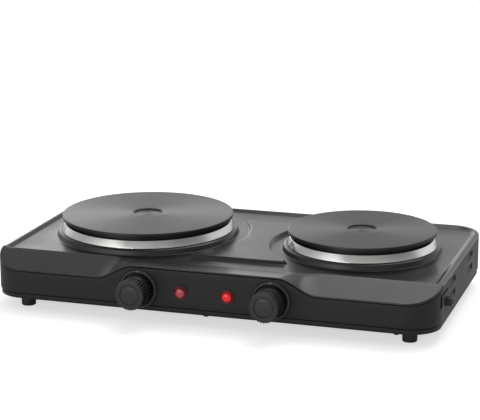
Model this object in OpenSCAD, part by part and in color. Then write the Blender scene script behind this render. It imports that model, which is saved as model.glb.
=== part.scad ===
// Two-plate electric hot plate: pressed deck, side frame, base pan, two cast-iron plates, two dials.
// Origin: on the table under the middle of the whole outline. +X right, +Y rear, +Z up, millimetres.

/* [Body] */
// Width of the body
body_w = 469; // [457:1:490]
// Depth of the body
body_d = 256; // [250:1:274]
// Corner radius in plan
corner_r = 32; // [28:1:34]
// Height of the underside above the table
foot_h = 14; // [12:1:20]
// Height of the deck's recess above the underside
deck_h = 42.8; // [42.8:0.2:50]
// Thickness of the steel sheet
sheet_t = 1; // [0.8:0.1:1.2]
// Thickness of the side frame's wall
wall_t = 2.5; // [2:0.1:3]
// Gap left between neighbouring pieces
fit_gap = 0.3; // [0.2:0.05:0.4]

/* [Deck border] */
// Height of the border above the recess
lip_h = 2.5; // [2:0.1:3.5]
// Width of the border
lip_w = 9.5; // [8:0.1:11]
// Radius of the border's outer edge
lip_r = 2.8; // [2.2:0.1:3]
// Depth of the border's outer skirt
skirt_h = 3.2; // [3.1:0.1:5]

/* [Front shelves] */
// Depth of the front strip, front to back
apron_d = 32; // [28:1:36]
// How far the shelves fall to the front
shelf_drop = 14.2; // [10:0.1:16]
// Half the width of the level console strip
console_half = 76; // [74:1:86]
// Width of the S-shaped step between strip and shelf
step_w = 40; // [30:1:45]
// Rise of the console strip towards the front
strip_rise = 3.8; // [0.5:0.1:4]
// Roll of the deck's front edge
front_roll = 0.6; // [0.4:0.1:1.5]

/* [Island] */
// Height of the raised island
island_h = 3.5; // [2.5:0.1:5]
// Front edge of the island from the middle of the body
island_front = -73; // [-76:1:-66]
// Back edge of the island from the middle of the body
island_back = 79; // [70:1:90]
// Width of the channel between collar and island
moat_w = 11; // [9:1:14]
// Slope width of the island's sides
island_slope = 2.6; // [1.5:0.1:4]
// Straight part of the island's right side from the right plate's centre
island_straight = 58; // [56:1:62]

/* [Plates] */
// Diameter of the left plate
left_plate_d = 185; // [180:1:188]
// Diameter of the right plate
right_plate_d = 155; // [145:1:160]
// Gap between a plate's edge and the side of the body
plate_margin = 30.2; // [27:0.1:33]
// Both plates' centres from the middle of the body, along Y
plate_y = 11.8; // [8:0.1:13]
// Thickness of the plates' rims
plate_rim_t = 4; // [3:0.1:5]
// Height of the plates' skirts
plate_skirt_h = 10.2; // [9.5:0.1:12]
// Thickness of the iron over the heating bed
plate_top_t = 6.5; // [5:0.1:7]
// Diameter of the hollow in the middle of a plate
hollow_d = 32; // [26:1:40]
// Depth of the hollow
hollow_t = 1.5; // [1:0.1:2]
// Height of the deck's collars
collar_h = 6.1; // [4.5:0.1:7]
// Collar's foot beyond the plate's edge
collar_reach = 6; // [5:0.1:7]
// Height of the trim rings' bright cone
ring_h = 8; // [7:0.1:9]
// Trim ring's lower edge beyond the plate's edge
ring_reach = 1.2; // [0.8:0.1:1.8]
// Trim ring's upper edge inside the plate's edge
ring_tuck = 2.6; // [2:0.1:3]

/* [Dials] */
// Dials' distance from the middle of the body
dial_x = 69.8; // [66:0.1:74]
// Height of the dials and lamps above the table
dial_z = 36.4; // [36:0.1:38]
// Diameter of the knobs
knob_d = 31.2; // [29:0.1:32]
// How far the knobs' faces stand out of the fascia
knob_out = 26.5; // [24:0.5:30]
// Gap between a knob's back and the fascia
knob_gap = 2.2; // [1.5:0.1:3.5]
// Number of grip ribs round a knob
knob_ribs = 32; // [24:1:40]
// Depth of the grooves between the ribs
rib_t = 0.8; // [0.5:0.1:1.2]
// Diameter of the cap let into a knob's face
cap_d = 19; // [16:0.5:21]
// Outer diameter of the bezel rings
bezel_d = 41; // [39:0.5:42]
// Inner diameter of the bezel rings
bezel_bore = 34; // [33.6:0.1:35]
// Height of the bezel rings
bezel_h = 2.6; // [2:0.1:4]
// Diameter of the control shafts
shaft_d = 6; // [5:0.1:6.5]
// Running clearance of the shafts, on the radius
shaft_clear = 0.05; // [0.03:0.01:0.1]

/* [Lamps] */
// Lamps' distance from the middle of the body
lamp_x = 24.6; // [22:0.1:30]
// Diameter of the lamp lenses
lamp_d = 14; // [12:0.5:15]
// How far the lenses stand out
lamp_out = 4.2; // [3:0.1:6]
// Diameter of the lenses' stems
lamp_stem_d = 10; // [9:0.1:10.8]

/* [Vents] */
// Length of one louvre
vent_l = 30; // [26:1:36]
// Height of one louvre
vent_h = 8; // [6:0.5:9]
// Height between two louvres' centres
vent_pitch = 14; // [12:0.5:14.5]
// Lower louvres' centre above the table
vent_z = 33.8; // [31:0.2:34.4]
// Distance of a louvre group from the middle of the body
vent_y = 47; // [44:1:50]

/* [Base pan] */
// Height of the pan's rim
pan_rim_h = 5; // [4:0.1:5.3]
// Joint left between pan and frame
joint_gap = 0.8; // [0.6:0.1:1.2]
// Inset of the pan's rim from the frame's face
pan_inset = 0.9; // [0.5:0.1:1.2]
// Diameter of the feet at the top
foot_d = 15.6; // [14:0.2:18]
// Taper of the feet, on the diameter
foot_taper = 0.8; // [0:0.2:2]
// Feet's distance from the sides of the body
foot_inset_x = 30.8; // [28:0.2:38]
// Feet's distance from the front and the rear of the body
foot_inset_y = 26.3; // [24:0.1:30]
// Depth of the screw's recess in a foot
foot_recess = 6; // [5:0.5:8]

/* [Cord inlet] */
// Gland's centre from the middle of the body, along Y
gland_y = -77; // [-79:1:-75]
// Height of the gland above the table
gland_z = 36.2; // [34:0.2:38]
// How far the gland stands out of the side wall
gland_out = 6; // [4:0.1:9]
// Height of the gland's outer block
gland_w = 8.2; // [8:0.1:10]
// Width of the gland's outer block
gland_l = 9; // [8.5:0.1:12]
// Bore for the cord
gland_bore = 6.2; // [5:0.1:6.8]

// Width of the upright slit beside the gland
slit_w = 4.5; // [3:0.1:5]
// Length of the level slit above the gland
slit_l = 34; // [24:1:36]
// Top of both slits above the gland's centre
slit_top = 12.6; // [10:0.1:13]
// Distance of the upright slit in front of the gland
slit_back = 26.5; // [24:0.5:28]

/* [Hidden] */
$fn = 96;
eps = 0.01;

// Levels above the table
deck_z = foot_h + deck_h;
lip_z = deck_z + lip_h;
skirt_z = lip_z - skirt_h;
pan_top = foot_h + pan_rim_h;
frame_z = pan_top + joint_gap;
floor_z = foot_h + sheet_t;
collar_z = deck_z + collar_h;
ring_z = collar_z + fit_gap;
ring_t = 0.9;
skirt_foot_z = ring_z + ring_t + fit_gap;
plate_under = skirt_foot_z + plate_skirt_h;
plate_z = plate_under + plate_rim_t;

// The body's middle lies off the origin, because dials and gland reach past one side only
mid_x = -gland_out / 2;
mid_y = knob_out / 2;
front_y = -body_d / 2;
ridge_y = front_y + apron_d;
inner_w = body_w - 2 * wall_t;
inner_d = body_d - 2 * wall_t;
left_r = left_plate_d / 2;
right_r = right_plate_d / 2;
left_plate_x = -body_w / 2 + plate_margin + left_r;
right_plate_x = body_w / 2 - plate_margin - right_r;
foot_x = body_w / 2 - foot_inset_x;
foot_y = body_d / 2 - foot_inset_y;
lip_slope_w = lip_w - lip_r - 1;
ridge_foot = 3;

// Smooth S from 0 to 1
function s_curve(t) = t <= 0 ? 0 : t >= 1 ? 1 : t * t * (3 - 2 * t);
// How much of the shelf is present at x: 0 on the console, 1 on the shelves
function shelf_share(x) = s_curve((abs(x) - console_half) / step_w);
// Height of the front strip's surface, with v the distance behind the front edge
function roll(v) = v >= 3 ? 0 : front_roll * pow(1 - v / 3, 2);
function strip_top(v) = deck_z + strip_rise * max(0, 1 - v / apron_d);
function shelf_top(v) = v <= apron_d ? lip_z - shelf_drop * (1 - v / apron_d)
    : lip_z - lip_h * s_curve((v - apron_d) / ridge_foot);
function apron_top(x, v) = strip_top(v) * (1 - shelf_share(x)) + shelf_top(v) * shelf_share(x) - roll(v);

// Grid lines of the front strip
step_parts = 14;
step_marks = [for (i = [0:step_parts]) console_half + step_w * i / step_parts];
apron_x = concat([-body_w / 2 - 1], [for (i = [0:step_parts]) -step_marks[step_parts - i]], step_marks,
    [body_w / 2 + 1]);
apron_v = [-1, 0.4, 1.1, 2, 3, apron_d - 2, apron_d, apron_d + 0.8, apron_d + 1.6, apron_d + 2.3,
    apron_d + ridge_foot, apron_d + ridge_foot + 1];

// Solid between the strip's surface lowered by drop_low, and either that surface lowered by drop_high
// or a flat top
module apron_solid(drop_low, drop_high, flat_top) {
    nx = len(apron_x);
    nv = len(apron_v);
    low = [for (x = apron_x, v = apron_v) [x, front_y + v, apron_top(x, max(v, 0)) - drop_low]];
    high = [for (x = apron_x, v = apron_v)
        [x, front_y + v, flat_top > 0 ? flat_top : apron_top(x, max(v, 0)) - drop_high]];
    n = nx * nv;
    cells = [for (i = [0:nx - 2], j = [0:nv - 2]) [i * nv + j, i * nv + j + 1, (i + 1) * nv + j + 1,
        (i + 1) * nv + j]];
    top_faces = [for (c = cells) each [[n + c[0], n + c[1], n + c[2]], [n + c[0], n + c[2], n + c[3]]]];
    low_faces = [for (c = cells) each [[c[2], c[1], c[0]], [c[3], c[2], c[0]]]];
    left_faces = [for (j = [0:nv - 2]) each [[j, j + 1, n + j + 1], [j, n + j + 1, n + j]]];
    k = (nx - 1) * nv;
    right_faces = [for (j = [0:nv - 2]) each [[k + j + 1, k + j, n + k + j],
        [k + j + 1, n + k + j, n + k + j + 1]]];
    front_faces = [for (i = [0:nx - 2]) each [[(i + 1) * nv, i * nv, n + i * nv],
        [(i + 1) * nv, n + i * nv, n + (i + 1) * nv]]];
    rear_faces = [for (i = [0:nx - 2]) each [[i * nv + nv - 1, (i + 1) * nv + nv - 1, n + (i + 1) * nv + nv - 1],
        [i * nv + nv - 1, n + (i + 1) * nv + nv - 1, n + i * nv + nv - 1]]];
    polyhedron(concat(low, high), concat(top_faces, low_faces, left_faces, right_faces, front_faces,
        rear_faces));
}

// Moves a piece from the body's own middle to the origin's frame
module in_body() {
    translate([mid_x, mid_y, 0]) children();
}

// Rounded rectangle in plan
module outline(w, d, r) {
    square([w - 2 * r, d], center = true);
    square([w, d - 2 * r], center = true);
    for (sx = [-1, 1], sy = [-1, 1]) translate([sx * (w / 2 - r), sy * (d / 2 - r)]) circle(r);
}

// Sheet section of the border: u runs inwards from the outer face
arc_parts = 6;
function edge_arc(r) = [for (i = [0:arc_parts]) [lip_r - r * cos(90 * i / arc_parts),
    lip_z - lip_r + r * sin(90 * i / arc_parts)]];
function reversed(list) = [for (i = [len(list) - 1:-1:0]) list[i]];
lip_section = concat([[0, skirt_z]], edge_arc(lip_r), [[lip_r + 1, lip_z], [lip_w, deck_z],
    [lip_w + 1, deck_z], [lip_w + 1, deck_z - sheet_t], [lip_w - 0.4, deck_z - sheet_t],
    [lip_r + 0.6, lip_z - sheet_t]], reversed(edge_arc(lip_r - sheet_t)), [[sheet_t, skirt_z]]);

// Carries a section along the left, rear and right edges, from y = start to the rear
module border_sweep(section, start) {
    side_l = body_d / 2 - corner_r - start;
    for (s = [-1, 1]) {
        mirror([s < 0 ? 0 : 1, 0, 0])
            translate([-body_w / 2, start + side_l, 0])
                rotate([90, 0, 0]) linear_extrude(side_l) polygon(section);
        mirror([s < 0 ? 0 : 1, 0, 0])
            translate([-body_w / 2 + corner_r, body_d / 2 - corner_r, 0])
                rotate([0, 0, 90]) rotate_extrude(angle = 90)
                    polygon([for (p = section) [corner_r - p[0], p[1]]]);
    }
    translate([-body_w / 2 + corner_r, body_d / 2, 0])
        rotate([90, 0, 90]) linear_extrude(body_w - 2 * corner_r) polygon([for (p = section) [-p[0], p[1]]]);
}

// Collar pressed up round a plate's seat, as a revolved sheet
module collar(r) {
    foot = r + collar_reach;
    rotate_extrude() polygon([[foot + 2, deck_z], [foot, deck_z], [foot - 1, deck_z + 0.8],
        [foot - 1.7, collar_z - 1.6], [foot - 2.3, collar_z - 0.5], [foot - 3.3, collar_z],
        [seat_bore(r), collar_z], [seat_bore(r), collar_z - sheet_t], [foot - 3.6, collar_z - sheet_t],
        [foot - 2.9, collar_z - sheet_t - 1], [foot - 2.3, deck_z - sheet_t + 0.6],
        [foot - 1.4, deck_z - sheet_t], [foot + 2, deck_z - sheet_t]]);
}
function seat_bore(r) = r - 8.5;

// Island outline set in by d: arcs round both plates, joined by a front and a rear line
arc_steps = 12;
function moat_r(r) = r + collar_reach + moat_w;
function side_x(cx, r, y, d, s) = cx + s * sqrt(pow(moat_r(r) + d, 2) - pow(y - plate_y, 2));
function island_outline(d) = concat(
    [for (i = [0:arc_steps]) let (y = island_front + d + (island_back - island_front - 2 * d) * i / arc_steps)
        [side_x(left_plate_x, left_r, y, d, 1), y]],
    [for (i = [arc_steps:-1:0]) let (y = island_front + d + (island_back - island_front - 2 * d) * i / arc_steps)
        [island_right(y, d), y]]);
// The right side follows the right plate's channel, and runs straight where that channel has ended
function island_right(y, d) = let (q = pow(moat_r(right_r) + d, 2) - pow(y - plate_y, 2))
    min(right_plate_x - sqrt(max(q, 0)), right_plate_x - island_straight - d);
module island_solid(d, low, high) {
    levels = [[0, 0], [0.35, 0.5], [0.7, 0.86], [1, 1]];
    rings = [for (l = levels) [for (p = island_outline(d + island_slope * l[0])) [p[0], p[1],
        low + (high - low) * l[1]]]];
    n = len(rings[0]);
    m = len(rings);
    points = [for (ring = rings) each ring];
    walls = [for (k = [0:m - 2], i = [0:n - 1]) each [[k * n + (i + 1) % n, (k + 1) * n + i, k * n + i],
        [k * n + (i + 1) % n, (k + 1) * n + (i + 1) % n, (k + 1) * n + i]]];
    half = arc_steps + 1;
    bottom = [for (i = [0:arc_steps - 1]) each [[i, n - 1 - i, i + 1], [n - 1 - i, n - 2 - i, i + 1]]];
    t = (m - 1) * n;
    top = [for (i = [0:arc_steps - 1]) each [[t + i + 1, t + n - 1 - i, t + i],
        [t + n - 2 - i, t + n - 1 - i, t + i + 1]]];
    polyhedron(points, concat(walls, bottom, top));
}

// Places children at both plates, or at one
module at_plate(side) {
    translate([side < 0 ? left_plate_x : right_plate_x, plate_y, 0]) children();
}
function plate_r(side) = side < 0 ? left_r : right_r;

module top_cover() {
    floor_front = ridge_y + ridge_foot;
    color("#2b2b2c") in_body() {
        difference() {
            union() {
                translate([0, 0, deck_z - sheet_t]) linear_extrude(sheet_t) intersection() {
                    outline(body_w - 2 * lip_w, body_d - 2 * lip_w, corner_r - lip_w);
                    translate([-body_w / 2, floor_front]) square([body_w, body_d]);
                }
                border_sweep(lip_section, ridge_y);
            }
            for (side = [-1, 1]) at_plate(side)
                translate([0, 0, deck_z - 5]) cylinder(r = plate_r(side) + collar_reach + 1, h = 20);
            translate([0, 0, deck_z - 5]) linear_extrude(10) polygon(island_outline(1));
        }
        for (side = [-1, 1]) at_plate(side) collar(plate_r(side));
        difference() {
            island_solid(0, deck_z - sheet_t, deck_z + island_h);
            island_solid(sheet_t, deck_z - sheet_t - 1, deck_z + island_h - sheet_t);
        }
        intersection() {
            apron_solid(sheet_t, 0, 0);
            linear_extrude(200) outline(body_w, body_d, corner_r);
        }
    }
}

// One louvre: a slot through the side wall, closed below by a sloping blade
module louvre_cut() {
    translate([0, 0, -vent_h / 2]) cube([4 * wall_t, vent_l, vent_h]);
}
module louvre_blade() {
    rotate([90, 0, 180]) linear_extrude(vent_l + 2 * blade_t)
        polygon([[0, 0], [0, blade_t], [wall_t, vent_h * blade_rise], [wall_t + blade_t, vent_h * blade_rise],
            [wall_t + blade_t, vent_h * blade_rise - blade_t], [blade_t, 0]]);
}
blade_t = 1;
blade_rise = 0.75;
louvre_rows = [vent_z, vent_z + vent_pitch];
louvre_starts = [-vent_y - vent_l / 2, vent_y - vent_l / 2];

module frame_boss(x, y) {
    translate([x, y, floor_z]) difference() {
        cylinder(d = boss_d, h = boss_h);
        translate([0, 0, -1]) cylinder(d = screw_d + 2 * fit_gap, h = boss_h + 2);
    }
}
screw_d = 3.5;
screw_head_r = 0.92 * screw_d;
screw_head_h = 0.63 * screw_d;
boss_d = 9;
boss_h = 20;
boss_x = [-foot_x + boss_d, 0, foot_x - boss_d];
function boss_y(s) = s * (body_d / 2 - wall_t - boss_d / 2 + 0.2);

module side_frame() {
    color("#262627") in_body() {
        difference() {
            translate([0, 0, frame_z]) linear_extrude(lip_z - frame_z) difference() {
                outline(body_w, body_d, corner_r);
                outline(inner_w, inner_d, corner_r - wall_t);
            }
            translate([-body_w, ridge_y - fit_gap, skirt_z - fit_gap]) cube([2 * body_w, body_d, 40]);
            apron_solid(sheet_t + 2 * fit_gap, 0, lip_z + 30);
            for (side = [-1, 1]) {
                translate([side * dial_x, front_y, dial_z]) rotate([90, 0, 0])
                    cylinder(d = shaft_bush_d + 2 * fit_gap, h = 20, center = true);
                for (s = [-1, 1]) translate([side * dial_x + s * 11, front_y, dial_z]) rotate([90, 0, 0])
                    cylinder(d = 3.6, h = 20, center = true);
                translate([side * lamp_x, front_y, dial_z]) rotate([90, 0, 0])
                    cylinder(d = lamp_stem_d + 2 * fit_gap, h = 20, center = true);
            }
            for (mx = [0, 1]) mirror([mx, 0, 0]) for (z = louvre_rows, y = louvre_starts)
                translate([body_w / 2 - 2 * wall_t, y, z]) louvre_cut();
            translate([body_w / 2 - 10, gland_y - gland_l / 2 - fit_gap, gland_z - gland_w / 2 - fit_gap])
                cube([20, gland_l + 2 * fit_gap, gland_w + 2 * fit_gap]);
            translate([body_w / 2 - 12, gland_y - slit_back, gland_z - 0.7]) cube([20, slit_w, slit_top + 0.7]);
            translate([body_w / 2 - 12, gland_y - slit_back, gland_z + slit_top - 2]) cube([20, slit_l, 2]);
        }
        for (mx = [0, 1]) mirror([mx, 0, 0]) for (z = louvre_rows, y = louvre_starts)
            translate([body_w / 2, y - blade_t, z - vent_h / 2 - eps]) louvre_blade();
        for (x = boss_x, s = [-1, 1]) frame_boss(x, boss_y(s));
    }
}

// Pan: flat floor with louvred slots, a rim outside and an upstand inside the frame
module base_pan() {
    w = body_w - 2 * pan_inset;
    d = body_d - 2 * pan_inset;
    up_w = inner_w - 2 * fit_gap;
    up_d = inner_d - 2 * fit_gap;
    color("#1f1f20") in_body() difference() {
        union() {
            translate([0, 0, foot_h]) linear_extrude(sheet_t) outline(w - 2, d - 2, corner_r - pan_inset - 1);
            translate([0, 0, foot_h + 1]) linear_extrude(pan_rim_h - 1) difference() {
                outline(w, d, corner_r - pan_inset);
                outline(up_w - 2 * sheet_t, up_d - 2 * sheet_t, corner_r - wall_t - fit_gap - sheet_t);
            }
            translate([0, 0, foot_h + 1]) linear_extrude(pan_rim_h + 2) difference() {
                outline(up_w, up_d, corner_r - wall_t - fit_gap);
                outline(up_w - 2 * sheet_t, up_d - 2 * sheet_t, corner_r - wall_t - fit_gap - sheet_t);
            }
            for (sx = [-1, 1], sy = [-1, 1]) translate([sx * foot_x, sy * foot_y, foot_h])
                cylinder(d = screw_d + 6, h = pan_rim_h + 6);
        }
        for (sx = [-1, 1], sy = [-1, 1]) translate([sx * foot_x, sy * foot_y, foot_h - 1])
            cylinder(d = screw_d + 2 * fit_gap, h = 20);
        for (x = boss_x, s = [-1, 1]) translate([x, boss_y(s), foot_h - 1])
            cylinder(d = screw_d + 2 * fit_gap, h = 20);
        for (x = boss_x, s = [-1, 1]) translate([x, boss_y(s), floor_z]) cylinder(d = boss_d + 1, h = boss_h);
        for (side = [-1, 1], i = [-4:4])
            translate([(side < 0 ? left_plate_x : right_plate_x) + i * 12 - 2, plate_y - 22, foot_h - 1])
                cube([4, 44, 4]);
    }
}

module foot(sx, sy) {
    top_r = foot_d / 2;
    low_r = top_r - foot_taper / 2;
    recess_r = screw_head_r + 0.8;
    color("#161616") in_body() translate([sx * foot_x, sy * foot_y, 0]) rotate_extrude()
        polygon([[screw_d / 2 + fit_gap, foot_recess], [recess_r, foot_recess], [recess_r, 0],
            [low_r - 0.8, 0], [low_r, 0.8], [top_r, foot_h], [screw_d / 2 + fit_gap, foot_h]]);
}
module foot_front_left() { foot(-1, -1); }
module foot_front_right() { foot(1, -1); }
module foot_rear_left() { foot(-1, 1); }
module foot_rear_right() { foot(1, 1); }

// Pan-head screw, head down, at the origin's plane
module screw(shank) {
    h = screw_head_h;
    rotate_extrude() polygon([[0, 0], [0.6 * screw_head_r, 0], [screw_head_r, 0.4 * h], [screw_head_r, h],
        [screw_d / 2, h], [screw_d / 2, h + shank - 1], [0, h + shank]]);
}
module foot_screws() {
    color("#8d8f92") in_body() for (sx = [-1, 1], sy = [-1, 1])
        translate([sx * foot_x, sy * foot_y, foot_recess - screw_head_h])
            screw(foot_h - foot_recess + pan_rim_h + 4);
}
module base_screws() {
    color("#8d8f92") in_body() for (x = boss_x, s = [-1, 1])
        translate([x, boss_y(s), foot_h - screw_head_h]) screw(0.8 * boss_h);
}

// Cast-iron plate: rim, skirt, hollow underneath for the heating bed, dished hollow on top
bed_top = plate_z - plate_top_t;
function skirt_r(r) = r - 6;
module hot_plate(side) {
    r = plate_r(side);
    color("#3a3a3b") in_body() at_plate(side) rotate_extrude() polygon([[0, bed_top],
        [0, plate_z - hollow_t], [hollow_d / 2 - 1, plate_z - hollow_t], [hollow_d / 2, plate_z - 0.2],
        [hollow_d / 2 + 0.6, plate_z], [r - 0.9, plate_z], [r - 0.25, plate_z - 0.3], [r, plate_z - 1],
        [r - 0.3, plate_under + 0.4], [r - 0.8, plate_under], [skirt_r(r), plate_under],
        [skirt_r(r), skirt_foot_z], [skirt_r(r) - 4, skirt_foot_z], [skirt_r(r) - 4, bed_top]]);
}
module left_hot_plate() { hot_plate(-1); }
module right_hot_plate() { hot_plate(1); }

// Stainless ring: bright cone outside, rolled top edge, wall and flange under the plate's skirt
module trim_ring(side) {
    r = plate_r(side);
    ro = r + ring_reach;
    ri = r - ring_tuck;
    top = ring_z + ring_h;
    color("#d9dadb") in_body() at_plate(side) rotate_extrude() polygon([[ro, ring_z], [ri + 0.3, top - 0.4],
        [ri - 0.4, top], [ri - 1.2, top - 0.4], [ri - 1.5, top - 1.2], [ri - 1.5, ring_z + ring_t],
        [r - 9.5, ring_z + ring_t], [r - 9.5, ring_z], [ri - 0.7, ring_z], [ri - 0.6, top - 1.3],
        [ro - 1.1, ring_z]]);
}
module left_trim_ring() { trim_ring(-1); }
module right_trim_ring() { trim_ring(1); }

// Magnesia bed under the iron, and the coil below it wound as half turns about two centres
bed_t = 2.6;
coil_d = 4;
coil_pitch = 13;
bed_z = bed_top - fit_gap - bed_t;
coil_z = bed_z - fit_gap - coil_d / 2;
module ceramic_bed(side) {
    r = skirt_r(plate_r(side)) - 4 - fit_gap;
    color("#d8d0c0") in_body() at_plate(side) translate([0, 0, bed_z]) difference() {
        cylinder(r = r, h = bed_t);
        translate([0, 0, -1]) cylinder(d = hollow_d, h = bed_t + 2);
    }
}
module left_ceramic_bed() { ceramic_bed(-1); }
module right_ceramic_bed() { ceramic_bed(1); }

module heating_coil(side) {
    first = hollow_d / 2 + 6;
    last = skirt_r(plate_r(side)) - 10;
    turns = floor((last - first) / coil_pitch);
    color("#6b4a3a") in_body() at_plate(side) translate([0, 0, coil_z]) for (i = [0:turns - 1]) {
        rotate_extrude(angle = 180) translate([first + i * coil_pitch, 0]) circle(d = coil_d, $fn = 32);
        translate([coil_pitch / 2, 0, 0]) rotate([0, 0, 180]) rotate_extrude(angle = 180)
            translate([first + (i + 0.5) * coil_pitch, 0]) circle(d = coil_d, $fn = 32);
    }
}
module left_heating_coil() { heating_coil(-1); }
module right_heating_coil() { heating_coil(1); }

// Heat shield: a shallow pan inside the skirt, open for the terminal block
shield_t = 0.8;
shield_z = deck_z - sheet_t + fit_gap;
block_w = 26;
block_d = 14;
block_h = 15;
function block_y(side) = 0.42 * plate_r(side);
module heat_shield(side) {
    r = skirt_r(plate_r(side)) - 4 - fit_gap;
    color("#a9abad") in_body() at_plate(side) difference() {
        rotate_extrude() polygon([[stud_d / 2 + fit_gap, shield_z], [r, shield_z],
            [r, coil_z - coil_d / 2 - fit_gap], [r - shield_t, coil_z - coil_d / 2 - fit_gap],
            [r - shield_t, shield_z + shield_t], [stud_d / 2 + fit_gap, shield_z + shield_t]]);
        translate([-block_w / 2 - fit_gap, block_y(side) - fit_gap, shield_z - 5])
            cube([block_w + 2 * fit_gap, block_d + 2 * fit_gap, 10]);
    }
}
module left_heat_shield() { heat_shield(-1); }
module right_heat_shield() { heat_shield(1); }

// Stud from the iron down through shield and bridge
stud_d = 6;
bridge_t = 2;
bridge_w = 20;
nut_w = 11.5;
bridge_z = deck_z - sheet_t - fit_gap - bridge_t;
nut_h = 5;
module plate_stud(side) {
    color("#8d8f92") in_body() at_plate(side) translate([0, 0, bridge_z - nut_h - 2])
        cylinder(d = stud_d, h = bed_top - fit_gap - (bridge_z - nut_h - 2));
}
module left_plate_stud() { plate_stud(-1); }
module right_plate_stud() { plate_stud(1); }
module stud_nuts() {
    color("#8d8f92") in_body() for (side = [-1, 1]) at_plate(side)
        translate([0, 0, bridge_z - fit_gap - nut_h]) difference() {
            cylinder(d = nut_w, h = nut_h, $fn = 6);
            translate([0, 0, -1]) cylinder(d = stud_d + 2 * shaft_clear, h = nut_h + 2);
        }
}

// Bridge bar that spans the collar from below
module clamp_bridge(side) {
    half = plate_r(side) + collar_reach + 5;
    color("#9b9da0") in_body() at_plate(side) difference() {
        translate([-half, -bridge_w / 2, bridge_z]) cube([2 * half, bridge_w, bridge_t]);
        translate([0, 0, bridge_z - 1]) cylinder(d = stud_d + 2 * fit_gap, h = bridge_t + 2);
    }
}
module left_clamp_bridge() { clamp_bridge(-1); }
module right_clamp_bridge() { clamp_bridge(1); }

// Ceramic block that brings the coil's ends out through the shield
module terminal_block(side) {
    top = coil_z - coil_d / 2 - fit_gap;
    color("#e8e2d6") in_body() at_plate(side) translate([-block_w / 2, block_y(side), top - block_h])
        difference() {
            cube([block_w, block_d, block_h]);
            for (x = [block_w / 4, 3 * block_w / 4]) translate([x, block_d / 2, -1]) cylinder(d = 5, h = 7);
        }
}
module left_terminal_block() { terminal_block(-1); }
module right_terminal_block() { terminal_block(1); }

// Thermostat: stepped case behind the fascia, bush through the wall
shaft_bush_d = 9;
case_w = 28;
case_d = 24;
case_y = front_y + wall_t + fit_gap;
module thermostat(side) {
    color("#d7d2c8") in_body() translate([side * dial_x, 0, dial_z]) difference() {
        union() {
            translate([-case_w / 2, case_y, -case_w / 2]) cube([case_w, case_d, case_w]);
            translate([-case_w / 2 + 3, case_y + case_d - eps, -case_w / 2 + 4])
                cube([case_w - 6, 6, case_w - 8]);
            translate([0, case_y + eps, 0]) rotate([90, 0, 0])
                cylinder(d = shaft_bush_d, h = wall_t + fit_gap + knob_gap - 0.8);
        }
        translate([0, case_y + 12, 0]) rotate([90, 0, 0]) cylinder(d = shaft_d + 2 * shaft_clear, h = 40);
        for (s = [-1, 1]) translate([s * 11, case_y + 9, 0]) rotate([90, 0, 0]) cylinder(d = 3.4, h = 40);
    }
}
module left_thermostat() { thermostat(-1); }
module right_thermostat() { thermostat(1); }
module thermostat_screws() {
    color("#8d8f92") in_body() for (side = [-1, 1], s = [-1, 1])
        translate([side * dial_x + s * 11, front_y - 1.4, dial_z]) rotate([-90, 0, 0])
            rotate_extrude() polygon([[0, 0], [2.2, 0], [2.8, 0.5], [2.8, 1.4], [1.5, 1.4], [1.5, 11], [0, 11]]);
}

// Control shaft with a flat for the knob
module control_shaft(side) {
    front_end = front_y - knob_out + knob_face_t + fit_gap;
    rear_end = case_y + 12 - fit_gap;
    color("#b9bbbe") in_body() translate([side * dial_x, rear_end, dial_z]) difference() {
        rotate([90, 0, 0]) cylinder(d = shaft_d, h = rear_end - front_end);
        translate([-shaft_d, -(rear_end - front_end) - 1, shaft_d / 2 - 1.5]) cube([2 * shaft_d, 15, 5]);
    }
}
module left_control_shaft() { control_shaft(-1); }
module right_control_shaft() { control_shaft(1); }

// Knob: ribbed cup with a flat face, a hub on the shaft and a seat for the cap
knob_face_t = 4;
cap_t = 1.6;
cap_seat_t = 1.3;
function rib_outline(r, cut) = [for (i = [0:knob_ribs - 1], k = [0:3])
    let (a = 360 * (i + [0.02, 0.42, 0.56, 0.88][k]) / knob_ribs, q = k < 2 ? r : r - cut)
        [q * cos(a), q * sin(a)]];
module knob(side) {
    r = knob_d / 2;
    depth = knob_out - knob_gap;
    color("#232324") in_body() translate([side * dial_x, front_y - knob_gap, dial_z]) rotate([90, 0, 0])
        difference() {
            intersection() {
                linear_extrude(depth) polygon(rib_outline(r, rib_t));
                rotate_extrude() polygon([[0, 0], [r, 0], [r, depth - 1.6], [r - 0.5, depth - 0.6],
                    [r - 1.5, depth], [0, depth]]);
            }
            difference() {
                translate([0, 0, -1]) cylinder(r = r - rib_t - 1.6, h = depth - knob_face_t + 1);
                translate([0, 0, 4]) cylinder(d = shaft_d + 5, h = depth);
            }
            difference() {
                translate([0, 0, -1]) cylinder(d = shaft_d + 2 * shaft_clear, h = depth - knob_face_t + 1);
                translate([-shaft_d, shaft_d / 2 - 1.5 + shaft_clear, 9]) cube([2 * shaft_d, 5, depth - 13]);
            }
            translate([0, 0, depth - cap_seat_t]) cylinder(d = cap_d + 2 * fit_gap, h = 5);
        }
}
module left_knob() { knob(-1); }
module right_knob() { knob(1); }
module knob_cap(side) {
    depth = knob_out - knob_gap - cap_seat_t;
    r = cap_d / 2;
    color("#2c2c2e") in_body() translate([side * dial_x, front_y - knob_gap - depth, dial_z])
        rotate([90, 0, 0]) rotate_extrude() polygon([[0, 0], [r, 0], [r, cap_seat_t - 0.7],
            [r - 0.5, cap_seat_t - 0.2], [r - 1.6, cap_seat_t], [0, cap_seat_t]]);
}
module left_knob_cap() { knob_cap(-1); }
module right_knob_cap() { knob_cap(1); }

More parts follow.
